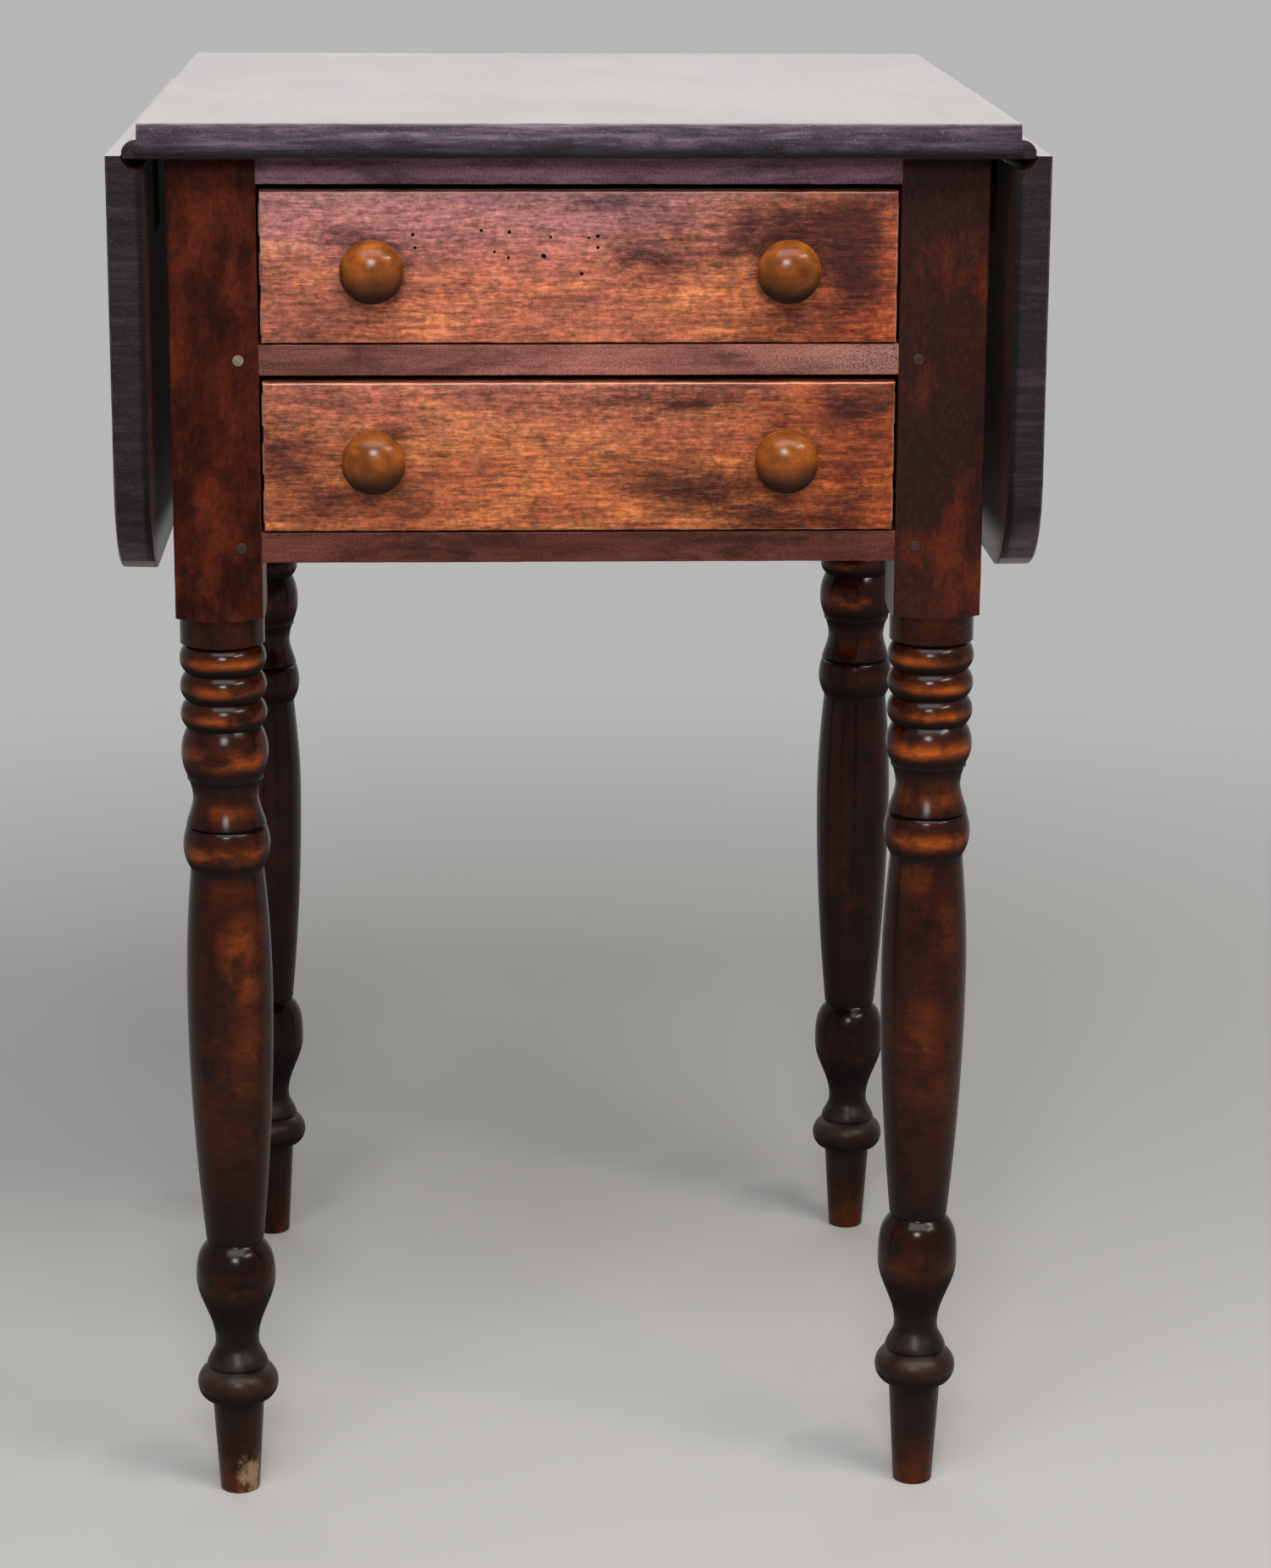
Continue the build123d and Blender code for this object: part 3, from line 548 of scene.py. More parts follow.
def end_finish(tones):
    """Purple-grey ends of the boards, dark with painted shade along the lower edge of the top and dark on the
    leaves, with painted glints and a painted highlight on the upper edge.
    """
    finish = Finish("worn_board_ends")
    rings = finish.noise((16.0, 40.0, 230.0), detail=8.0, roughness=0.74, distortion=0.3)
    grain = tones.end_grain
    tone = finish.ramp(rings, (0.34, shade(grain, 0.3)), (0.50, shade(grain, 0.8)), (0.66, shade(grain, 2.2)))
    patches = finish.noise((34.0, 34.0, 80.0), detail=6.0, roughness=0.7)
    tone = finish.blend(finish.levels(patches, 0.46, 0.66, 0.0, 0.75), tone, shade(grain, 0.35))
    outer = finish.levels(finish.reckon("ABSOLUTE", finish.axis(0)), 0.2165, 0.2200)
    tone = finish.blend(finish.times(outer, 0.5), tone, tones.leaf_grain)
    # Painted shade: the top's ends darken toward their rounded lower edge; the leaves' ends take a fixed
    # darker share
    lower = finish.across(2, 0.7210, 0.7310, 0.05, 1.06)
    lower = finish.larger(lower, finish.times(outer, 0.32))
    tone = finish.vary(tone, lower)
    # Painted glints in fine pits, fading toward the lower edge
    pits = finish.noise((900.0, 900.0, 900.0), detail=3.0, roughness=0.7)
    painted_glints = finish.times(finish.levels(pits, 0.60, 0.72, 0.0, 0.7), lower)
    tone = finish.blend(painted_glints, tone, shade(grain, 3.6))
    # Painted highlight on the rounded upper edge, partly rubbed wear
    rubbed = finish.times(finish.arris(), finish.levels(patches, 0.4, 0.6, 0.1, 0.6))
    tone = finish.blend(finish.times(rubbed, lower), tone, shade(grain, 4.5))
    normal = finish.relief(rings, 0.0003, finish.relief(pits, 0.0003))
    return finish.close(tone, finish.levels(patches, 0.3, 0.7, 0.30, 0.44), normal, specular=0.1)


def post_finish(tones):
    """Dark red finish of the square posts, rubbed a little on the corners, with a painted purple-grey sheen
    that also darkens the right-hand posts as painted shade.
    """
    finish = Finish("rubbed_posts")
    middle = midway(tones.post_dark, tones.post_red)
    tone, height = lay_wood(
        finish, 2, tones.post_dark, middle, tones.post_red, figure=(5.0, 30.0), streak=0.14, pore=0.25
    )
    clouds = finish.noise((34.0, 34.0, 24.0), detail=7.0, roughness=0.68)
    tone = finish.blend(finish.levels(clouds, 0.40, 0.62, 0.0, 0.9), tone, shade(tones.post_dark, 0.5))
    # Painted sheen and painted shade: the right-hand posts take a purple-grey veil that dulls and darkens
    # them
    shaded_sheen = finish.across(0, -0.1, 0.1, 0.0, 0.7)
    tone = finish.blend(shaded_sheen, tone, tones.post_shaded_sheen)
    warm = finish.levels(finish.noise((40.0, 40.0, 22.0), detail=6.0), 0.48, 0.68, 0.0, 0.65)
    tone = finish.blend(warm, tone, shade(tones.post_red, 1.35))
    specks = finish.noise((520.0, 520.0, 300.0), detail=3.0, roughness=0.7)
    tone = finish.vary(tone, finish.levels(specks, 0.3, 0.7, 0.75, 1.25))
    rubbed = finish.times(finish.arris(), finish.levels(clouds, 0.42, 0.62, 0.0, 0.5))
    tone = finish.blend(rubbed, tone, shade(tones.post_red, 2.2))
    roughness = finish.levels(clouds, 0.3, 0.7, 0.30, 0.44)
    normal = finish.relief(height, 0.0001, finish.relief(clouds, 0.0003))
    return finish.close(tone, roughness, normal, specular=0.06)


def leg_finish(tones):
    """Old dark finish of the turned legs, with a painted amber glow on the front of the crests of the
    turning, grime and painted shade in the hollows, painted shade on the undersides and painted shade toward
    the floor.
    """
    finish = Finish("turned_legs")
    light = shade(tones.leg_red, 1.7)
    tone, height = lay_wood(
        finish, 2, tones.leg_dark, tones.leg_red, light, figure=(6.0, 30.0), streak=0.18, pore=0.3
    )
    # Painted amber glow on the crests and columns
    tone = finish.blend(leg_amber_share(finish), tone, tones.leg_amber)
    grime = finish.noise((120.0, 120.0, 420.0), detail=5.0, roughness=0.7)
    tone = finish.vary(tone, finish.levels(grime, 0.3, 0.7, 0.7, 1.3))
    # Painted shade on the undersides of the turnings
    tone = finish.blend(finish.toward(2, -0.55, 0.05, 0.97, 0.0), tone, tones.leg_dark)
    # Darker in the hollows of the turning: partly grime, partly painted shade
    crest = finish.add("Attribute", {}, attribute_name="crest").outputs["Fac"]
    tone = finish.blend(finish.levels(crest, 0.0, 0.5, 0.92, 0.0), tone, tones.leg_dark)
    clouds = finish.noise((60.0, 60.0, 46.0), detail=6.0, roughness=0.65)
    tone = finish.blend(finish.levels(clouds, 0.48, 0.66, 0.0, 0.65), tone, tones.leg_dark)
    # Painted shade: darker toward the floor
    tone = finish.vary(tone, finish.across(2, 0.10, 0.42, 0.5, 1.0))
    tone = age_feet(finish, tone, clouds, tones)
    dull = finish.larger(finish.toward(2, -0.4, 0.1, 0.85, 0.15), finish.across(2, 0.08, 0.16, 0.36, 0.15))
    roughness = finish.larger(finish.levels(clouds, 0.3, 0.7, 0.15, 0.23), dull)
    normal = finish.relief(height, 0.000004, finish.relief(clouds, 0.00003))
    return finish.close(tone, roughness, normal, specular=0.16)


# Painted amber glow on the lit fronts of the columns in millimetres: x, height, half width, half height; then
# strength
PAINTED_LEG_GLOWS = (
    (-175, 309, 16, 24, 0.42),
    (-174, 286, 12, 16, 0.40),
    (-172, 255, 12, 34, 0.16),
    (-180, 346, 18, 20, 0.14),
    (175, 350, 12, 18, 0.28),
    (192, 316, 10, 18, 0.18),
    (181, 262, 12, 30, 0.14),
)
COLUMN_FACE = -0.215


def leg_amber_share(finish):
    """Gives the share of painted amber glow on a leg: on its crests and in the listed spots on the columns,
    fading on faces turned from the front.
    """
    painted_glow = finish.add("Attribute", {}, attribute_name="painted_glow").outputs["Fac"]
    patches = finish.noise((28.0, 28.0, 52.0), detail=4.0, roughness=0.56)
    patches = finish.plus(patches, finish.across(0, -0.15, 0.15, 0.0, 0.05))
    patches = finish.reckon("SUBTRACT", patches, finish.across(1, -0.15, 0.15, 0.0, 0.12))
    amber = finish.times(finish.levels(patches, 0.36, 0.64), painted_glow)
    for x, rise, width, tall, strength in PAINTED_LEG_GLOWS:
        spot = finish.spot((x * MM, COLUMN_FACE, rise * MM), (width * MM, 0.03, tall * MM))
        # Painted glow in each listed spot, broken up by the noise
        worn = finish.levels(patches, 0.30, 0.60, 0.3 * strength, strength)
        amber = finish.plus(amber, finish.times(spot, worn))
    # Painted light: the glow fades on faces that turn away from the front
    return finish.times(amber, finish.toward(1, -0.95, -0.2, 1.0, 0.1))


def age_feet(finish, tone, clouds, tones):
    """Dusts the lowest turnings, scrapes the feet and bares a patch of the front left one."""
    dust = finish.times(finish.across(2, 0.07, 0.11, 1.0, 0.0), finish.toward(2, -0.2, 0.7, 0.05, 0.8))
    dust = finish.times(dust, finish.levels(clouds, 0.35, 0.65, 0.1, 0.7))
    tone = finish.blend(dust, tone, tones.leg_dust)
    scraped = finish.across(2, 0.002, 0.034, 0.9, 0.0)
    scraped = finish.times(scraped, finish.levels(clouds, 0.36, 0.60, 0.1, 1.0))
    tone = finish.blend(scraped, tone, shade(tones.leg_amber, 0.17))
    bare = finish.spot((-0.175, -0.208, 0.010), (0.014, 0.02, 0.022))
    ragged = finish.noise((170.0, 170.0, 120.0), detail=5.0, roughness=0.66)
    ragged = finish.times(finish.reckon("SUBTRACT", ragged, 0.5), 2.0)
    bare = finish.levels(finish.plus(bare, ragged), 0.30, 0.85, 0.0, 0.9)
    near = finish.across(2, 0.014, 0.030, 1.0, 0.0)
    return finish.blend(finish.times(bare, near), tone, tones.foot_bare)


def rail_finish(tones, name, grain, light, fade=1.0):
    """Smoky finish of the rails and panels, with the light figure given and a share for the left end."""
    finish = Finish(name)
    dark = shade(light, 0.3)
    middle = midway(dark, light)
    tone, height = lay_wood(finish, grain, dark, middle, light, figure=(10.0, 60.0), streak=0.2)
    clouds = finish.noise((24.0, 24.0, 60.0), detail=6.0, roughness=0.70)
    tone = finish.blend(finish.levels(clouds, 0.46, 0.68, 0.0, 0.85), tone, shade(light, 0.16))
    specks = finish.noise((900.0, 900.0, 900.0), detail=3.0, roughness=0.7)
    tone = finish.vary(tone, finish.levels(specks, 0.3, 0.7, 0.65, 1.35))
    tone = finish.vary(tone, finish.across(0, -0.15, 0.02, fade, 1.0))
    worn_end = finish.levels(finish.spot((0.150, -0.22, 0.620), (0.085, 0.03, 0.022)), 0.0, 0.9, 0.0, 0.55)
    scuffed = finish.times(worn_end, finish.levels(specks, 0.35, 0.7))
    tone = finish.blend(scuffed, tone, tones.rail_scuff)
    rubbed = finish.times(finish.arris(), finish.levels(clouds, 0.35, 0.55, 0.6, 0.1))
    tone = finish.blend(rubbed, tone, shade(light, 1.6))
    roughness = finish.levels(clouds, 0.3, 0.7, 0.26, 0.42)
    normal = finish.relief(height, 0.00012, finish.relief(clouds, 0.0004))
    return finish.close(tone, roughness, normal, specular=0.1)


def drawer_finish(tones, level):
    """Amber and red figure of one drawer front under dark stains and a painted sheen, with a redder right end
    darkened by painted shade, rubbed light on its edges and with a painted highlight along its upward-facing
    edges.
    """
    low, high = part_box(f"{level}_drawer_front")
    middle = (low.z + high.z) / 2
    finish = Finish(f"{level}_drawer_figure")
    depth = 1.02 if level == "upper" else 0.9
    red = shade(tones.drawer_red, depth)
    amber = shade(tones.drawer_amber, depth)
    tone, height = lay_wood(
        finish, 0, shade(red, 0.45), red, amber, figure=(12.0, 60.0), streak=0.3, pore=0.6
    )
    veil = 0.95 if level == "upper" else 0.28
    # Painted sheen over the upper part of the front, strong on the upper drawer and fading to the right
    painted_sheen = finish.across(2, middle - 0.014, high.z, 0.25 * veil, veil)
    painted_sheen = finish.times(painted_sheen, finish.across(0, 0.0, 0.13, 1.0, 0.35))
    tone = finish.blend(painted_sheen, tone, finish.blend(0.7, tone, tones.drawer_haze))
    flecks = finish.noise((90.0, 90.0, 620.0), detail=5.0, roughness=0.75)
    tone = finish.vary(tone, finish.levels(flecks, 0.32, 0.68, 0.62, 1.28))
    specks = finish.noise((300.0, 300.0, 380.0), detail=4.0, roughness=0.75)
    tone = finish.vary(tone, finish.levels(specks, 0.3, 0.7, 0.58, 1.32))
    dashes = finish.noise((42.0, 42.0, 400.0), detail=4.0, roughness=0.65)
    tone = finish.blend(finish.levels(dashes, 0.54, 0.68, 0.0, 0.5), tone, tones.drawer_dash, "MULTIPLY")
    clouds = finish.noise((26.0, 26.0, 48.0), detail=10.0, roughness=0.8, distortion=0.3)
    cover = stain_cover(finish, level, clouds, Vector((0, low.y, middle)))
    # The right end: redder wood, and darker with painted shade
    ruddy_shade = finish.across(0, 0.06, 0.15, 0.0, 0.95)
    tone = finish.blend(ruddy_shade, tone, tones.drawer_ruddy, "MULTIPLY")
    cover = finish.levels(cover, -0.25, 0.85, 0.0, 0.95)
    tone = finish.blend(cover, tone, tones.drawer_stain, "MULTIPLY")
    # Painted highlight along the upward-facing edges, added to the rubbed wear
    painted_edge_light = finish.toward(2, 0.1, 0.6, 0.0, 0.7)
    rubbed = finish.plus(finish.levels(clouds, 0.3, 0.6, 0.7, 0.1), painted_edge_light)
    tone = finish.blend(finish.times(finish.arris(), rubbed), tone, tones.drawer_edge)
    roughness = finish.levels(clouds, 0.3, 0.7, 0.24, 0.38)
    normal = finish.relief(height, 0.00014, finish.relief(clouds, 0.0004))
    return finish.close(tone, roughness, normal, specular=0.2)


# Main stains of the drawer fronts in millimetres: place from the middle, half size; then strength
DRAWER_STAINS = {
    "upper": (
        (118, 24, 56, 26, 0.7),
        (136, -2, 24, 44, 1.0),
        (112, -26, 30, 14, 0.45),
        (60, 16, 60, 18, 0.45),
        (-70, 12, 40, 16, 0.3),
        (-126, 14, 40, 14, 0.15),
        (-113, -30, 30, 12, 0.1),
        (10, 33, 80, 10, 0.3),
        (42, 2, 52, 14, 0.5),
        (50, -24, 44, 14, 0.3),
        (-150, -6, 16, 20, 0.2),
    ),
    "lower": (
        (-148, 4, 34, 24, 0.75),
        (-126, -20, 30, 18, 0.6),
        (-84, -24, 24, 16, 0.4),
        (-140, 30, 30, 10, 0.25),
        (-50, 18, 44, 18, 0.05),
        (28, -6, 48, 16, 0.55),
        (48, 27, 70, 14, 0.75),
        (66, -20, 54, 16, 0.75),
        (113, -34, 60, 12, 0.7),
        (140, 22, 34, 20, 0.65),
        (136, -10, 34, 18, 0.5),
    ),
}


def stain_cover(finish, level, clouds, middle):
    """Gives how thickly stain lies on a drawer front: in clouds, in its main stains and at its knobs."""
    drift = finish.noise((50.0, 50.0, 300.0), detail=6.0, roughness=0.75)
    cover = finish.plus(finish.times(clouds, 2.6), finish.times(drift, 1.4))
    cover = finish.reckon("SUBTRACT", cover, 2.02)
    for x, rise, width, tall, strength in DRAWER_STAINS[level]:
        place = (x * MM, middle.y, middle.z + rise * MM)
        spot = finish.spot(place, (width * MM, 0.05, tall * MM))
        cover = finish.plus(cover, finish.times(spot, strength))
    for side in SIDES:
        knob_low, knob_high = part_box(f"{level}_{side}_knob")
        spot = finish.spot((knob_low + knob_high) / 2, (0.022, 0.05, 0.022))
        cover = finish.plus(cover, finish.times(spot, 0.9))
    return cover


def knob_finish(tones):
    """Polished golden-brown knobs, with painted shade toward their undersides and on their sides turned from
    the front.
    """
    finish = Finish("polished_knobs")
    deep, light = shade(tones.knob_amber, 0.6), shade(tones.knob_amber, 1.3)
    figure = {"figure": (30.0, 60.0), "streak": 0.15, "pore": 0.15}
    tone, height = lay_wood(finish, 0, deep, tones.knob_amber, light, **figure)
    # Painted shade toward the undersides
    down = finish.toward(2, -0.7, 0.5, 0.98, 0.0)
    tone = finish.blend(down, tone, tones.knob_dark)
    # Painted shade on the sides that turn away from the front
    back = finish.toward(1, -0.35, 0.2, 0.0, 0.85)
    tone = finish.blend(back, tone, shade(tones.knob_dark, 0.6))
    clouds = finish.noise((90.0, 90.0, 90.0), detail=4.0)
    tone = finish.vary(tone, finish.levels(clouds, 0.3, 0.7, 0.55, 1.2))
    dull = finish.toward(2, -0.5, 0.1, 0.85, 0.15)
    roughness = finish.larger(finish.levels(clouds, 0.3, 0.7, 0.18, 0.26), dull)
    normal = finish.relief(height, 0.00001, finish.relief(clouds, 0.00015))
    return finish.close(tone, roughness, normal, specular=0.2)


def bare_finish(tones, grain):
    """Unfinished, time-browned wood inside the case, with its grain along one axis."""
    finish = Finish("bare_wood_" + "xyz"[grain])
    middle = midway(tones.bare_dark, tones.bare_light)
    tone, height = lay_wood(finish, grain, tones.bare_dark, middle, tones.bare_light, figure=(5.0, 48.0))
    clouds = finish.noise((14.0, 14.0, 14.0), detail=5.0, roughness=0.6)
    tone = finish.blend(finish.levels(clouds, 0.5, 0.75, 0.0, 0.5), tone, shade(tones.bare_dark, 0.7))
    normal = finish.relief(height, 0.0002)
    return finish.close(tone, finish.levels(clouds, 0.3, 0.7, 0.6, 0.8), normal, specular=0.25)


def metal_finish(name, base, spots, roughness, metal):
    """Old metal with darker or rusty spots."""
    finish = Finish(name)
    clouds = finish.noise((160.0, 160.0, 160.0), detail=6.0, roughness=0.65)
    tone = finish.blend(finish.levels(clouds, 0.42, 0.62), base, spots)
    normal = finish.relief(finish.noise((900.0, 900.0, 900.0), detail=3.0), 0.00008)
    gloss = finish.levels(clouds, 0.35, 0.65, roughness, roughness + 0.25)
    return finish.close(tone, gloss, normal, metal=metal)


def peg_finish(name, base):
    """Whittled peg end with rings of grain."""
    finish = Finish(name)
    clouds = finish.noise((500.0, 60.0, 500.0), detail=5.0, roughness=0.7)
    tone = finish.ramp(clouds, (0.3, shade(base, 0.5)), (0.7, shade(base, 1.4)))
    normal = finish.relief(clouds, 0.0002)
    return finish.close(tone, finish.levels(clouds, 0.3, 0.7, 0.3, 0.5), normal, specular=0.3)


def hole_finish(tones):
    """Dark inside of worm holes: near-black painted shade."""
    finish = Finish("worm_holes")
    clouds = finish.noise((800.0, 800.0, 800.0))
    tone = finish.ramp(clouds, (0.3, shade(tones.post_dark, 0.2)), (0.7, tones.post_dark))
    normal = finish.relief(clouds, 0.0001)
    return finish.close(tone, finish.levels(clouds, 0.3, 0.7, 0.7, 0.9), normal, specular=0.1)


# Pieces


def sizes():
    """Gives the sizes that the user sees in the scene."""
    return bpy.context.scene.stand_sizes


def finishes():
    """Gives the colours that the user sees in the scene."""
    return bpy.context.scene.stand_finishes


def hinge_spans(body_node):
    """Gives the stretches along Y that the two hinges of a leaf take."""
    low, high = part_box(body_node)
    size = sizes().hinge_length
    return [(low.y, low.y + size), (high.y - size, high.y)]


def board_pair():
    """Gives the finishes of the boards: faces, then ends."""
    made = bpy.data.materials
    if "polished_boards" not in made:
        return [board_finish(finishes()), end_finish(finishes())]
    return [made["polished_boards"], made["worn_board_ends"]]


def on_end(face):
    """Tells which of the boards' two finishes a face takes."""
    return int(abs(face.normal.y) > 0.5)


def leaf_pivot(side_name):
    """Gives the line that a leaf swings about, from its hinge pins."""
    low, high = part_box(f"{side_name}_hinge_pins")
    return (low + high) / 2


class STAND_OT_top(bpy.types.Operator):
    """Adds the top board with a rule-joint round along each side and worn ends"""

    bl_idname = "stand.add_top"
    bl_label = "Top board"

    def execute(self, context):
        size = sizes()
        low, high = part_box("top_board")
        pivot = leaf_pivot("right")
        reach = math.acos((pivot.z - low.z) / size.rule_radius)
        turns = [math.pi / 2 - (math.pi - reach) * step / 14 for step in range(15)]
        half = [(pivot.x, high.z)]
        for turn in turns:
            out, up = size.rule_radius * math.cos(turn), size.rule_radius * math.sin(turn)
            half.append((pivot.x + out, pivot.z + up))
        outline = [(x, low.y, z) for x, z in half] + [(-x, low.y, z) for x, z in reversed(half)]
        board = start_line("worn_top_board", outline)
        bpy.ops.mesh.select_all(action="SELECT")
        bpy.ops.mesh.edge_face_add()
        bpy.ops.mesh.select_all(action="SELECT")
        bpy.ops.mesh.extrude_region_move(TRANSFORM_OT_translate={"value": (0, high.y - low.y, 0)})
        bpy.ops.mesh.select_all(action="SELECT")
        bpy.ops.mesh.normals_make_consistent(inside=False)
        put_down()
        round_edges(board, lambda a, b: along(0, 0.3)(a, b) and a.z > pivot.z, size.board_edge)
        round_edges(board, lambda a, b: along(0, 0.3)(a, b) and a.z < pivot.z, size.board_under, segments=5)
        divide_edges(board, along(0, 0.3), cuts=87)
        divide_edges(board, along(1, 0.3), cuts=96)
        near = 2.2 * size.board_edge
        wear_edges(
            board,
            lambda p: abs(p.y) > high.y - near and min(high.z - p.z, p.z - low.z) < near
            or abs(abs(p.x) - pivot.x) < MM and p.z > high.z - MM,
            depth=size.edge_wear,
            patch=0.012,
        )
        cutters = []
        for name, side in SIDES.items():
            plates_low, plates_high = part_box(f"{name}_top_hinge_plates")
            root = plates_low.x if side > 0 else plates_high.x
            for start, end in hinge_spans(f"{name}_top_hinge_plates"):
                start, end = start - BARREL_SLACK, end + BARREL_SLACK
                bed = sorted((root - side * PLATE_SLACK, side * pivot.x))
                first = (bed[0], start, low.z - MM)
                cutters.append(start_block("plate_bed", first, (bed[1], end, low.z + size.hinge_recess)))
                bed = sorted((side * (pivot.x - BARREL_BED[0]), side * (pivot.x + BARREL_BED[1])))
                first = (bed[0], start, low.z - MM)
                cutters.append(start_block("barrel_bed", first, (bed[1], end, pivot.z)))
                centre = (side * pivot.x, (start + end) / 2, pivot.z)
                barrel = size.knuckle + BARREL_SLACK
                cutters.append(start_rod("barrel_round", centre, barrel, end - start, ALONG_Y))
        for cutter in cutters:
            cut(board, [cutter])
        hand_over(board, board_pair(), "top_finish", "case", "top_board", choose=on_end)
        return {"FINISHED"}


class STAND_OT_leaves(bpy.types.Operator):
    """Adds the two hanging leaves, each with a hollow along its upper edge and round lower corners"""

    bl_idname = "stand.add_leaves"
    bl_label = "Leaves"

    def execute(self, context):
        size = sizes()
        for name, side in SIDES.items():
            low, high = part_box(f"{name}_leaf")
            pivot = leaf_pivot(name)
            leaf = start_block(f"worn_{name}_leaf", low, high)
            round_edges(
                leaf,
                lambda a, b: along(0, 0.01)(a, b) and a.z < low.z + MM,
                size.leaf_corner,
                segments=20,
            )
            outer, inner = (high.x, low.x) if side > 0 else (low.x, high.x)
            for face in (outer, inner):
                round_edges(
                    leaf,
                    lambda a, b: max(abs(a.x - face), abs(b.x - face)) < MERGE
                    and min(a.z, b.z) < high.z - MM,
                    size.board_edge if face == outer else size.board_edge / 2,
                )
            divide_edges(leaf, along(2, 0.1), cuts=32)
            divide_edges(leaf, along(1, 0.1), cuts=64)
            wear_edges(
                leaf,
                lambda p: 0.05 * MM < abs(p.x - outer) < 3 * MM and p.z < high.z - 2 * MM,
                depth=size.edge_wear * 0.8,
                patch=0.014,
            )
            centre, radius = (pivot.x, 0, pivot.z), size.rule_radius + size.rule_gap
            past_ends = high.y - low.y + 0.02
            cut(leaf, [start_rod("hollow", centre, radius, past_ends, ALONG_Y, sides=96)])
            plates_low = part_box(f"{name}_leaf_hinge_plates")[0]
            for start, end in hinge_spans(f"{name}_top_hinge_plates"):
                bed = sorted((inner - side * MM, inner + side * size.hinge_recess))
                first = (bed[0], start - PLATE_SLACK, plates_low.z - PLATE_SLACK)
                cut(leaf, [start_block("plate_bed", first, (bed[1], end + PLATE_SLACK, pivot.z))])
            hand_over(leaf, board_pair(), "top_finish", f"{name}_leaf", f"{name}_leaf", choose=on_end)
        return {"FINISHED"}


# Heights on a turned leg in millimetres: the rings and the cap over them
FIRST_RING, RING_PITCH = (424.7, 439.3), 14.6
RINGS = [tuple(end + RING_PITCH * ring for end in FIRST_RING) for ring in range(3)]
BEAD_TOP = RINGS[0][0]
CAP = (468.5, 490.0)

# Places above the foot, above the vase and below the large bead
TORUS_TOP, VASE_FOOT, VASE_SWELL = 17.0, 18.6, 48.0
COLUMN_FOOT = 2.5
COLLAR_FOOT, COLLAR_TOP, NECK_FOOT, NECK_TOP = 50.1, 28.1, 26.5, 2.0


def leg_outline(foot, vase, bead):
    """Gives a turned leg's outline from the floor up, as (radius, height) in millimetres.

    The heights of the foot's top, the vase's top and the large bead's underside are given.
    """
    outline = [(0.0, 0.0), (9.8, 0.0), (10.5, 0.8), (12.2, foot / 2), (13.9, foot), (18.4, foot)]
    outline += arc((18.4, foot), (21.6, foot + 6.5), (16.4, foot + TORUS_TOP), 16)
    outline += [(15.1, foot + 17.8), (16.4, foot + VASE_FOOT)]
    outline += flow(
        ((16.4, foot + VASE_FOOT), (-0.15, 1)),
        ((12.3, foot + 28.0), (-0.4, 1)),
        ((11.7, foot + 33.3), (0, 1)),
        ((21.25, foot + 68.8), (0, 1)),
        ((15.3, vase), (-1, 0.9)),
    )
    outline += [(14.65, vase + 1.25), (15.3, vase + COLUMN_FOOT)]
    outline += flow(
        ((15.3, vase + COLUMN_FOOT), (0.1, 1)),
        ((22.5, vase + 139.5), (0, 1)),
        ((19.0, bead - COLLAR_FOOT), (-0.1, 1)),
        count=18,
    )
    outline += arc((19.0, bead - COLLAR_FOOT), (22.5, bead - 39.1), (20.8, bead - COLLAR_TOP), 14)
    outline += [(19.5, bead - 27.3), (20.8, bead - NECK_FOOT)]
    outline += flow(
        ((20.8, bead - NECK_FOOT), (-0.25, 1)),
        ((17.0, bead - 11.5), (0, 1)),
        ((19.2, bead - NECK_TOP), (0.45, 1)),
    )
    outline += [(19.7, bead - NECK_TOP), (19.7, bead)]
    outline += arc((19.7, bead), (22.5, (bead + BEAD_TOP) / 2), (19.2, BEAD_TOP), 16)
    for low, high in RINGS:
        outline += arc((19.2, low), (22.3, (low + high) / 2), (19.2, high), 14)
    outline += [(21.75, 469.5), (21.75, 487.0), (0.0, 487.0)]
    return outline


def crest_at(height, foot, vase, bead):
    """Gives how far a place stands out on a leg, 0 in a hollow and 1 on a crest, and its share of painted
    glow, a band low on each crest.
    """
    crests = [(foot, foot + TORUS_TOP, 0.1), (foot + VASE_SWELL, vase + 1.0, 0.3)]
    crests += [(vase + COLUMN_FOOT, bead - COLLAR_FOOT, 0.1), (bead - COLLAR_FOOT, bead - COLLAR_TOP, 0.9)]
    crests += [(bead - NECK_FOOT, bead - NECK_TOP, 0.25), (bead, BEAD_TOP, 1.0)]
    crests += [(low, high, 0.85) for low, high in RINGS] + [(*CAP, 0.6)]
    for low, high, painted_glow in crests:
        if low <= height <= high:
            share = (height - low) / (high - low)
            return math.sin(math.pi * share) ** 0.5, painted_glow * math.sin(math.pi * share**0.75) ** 6
    return (1.0, 0.0) if height < foot else (0.0, 0.0)


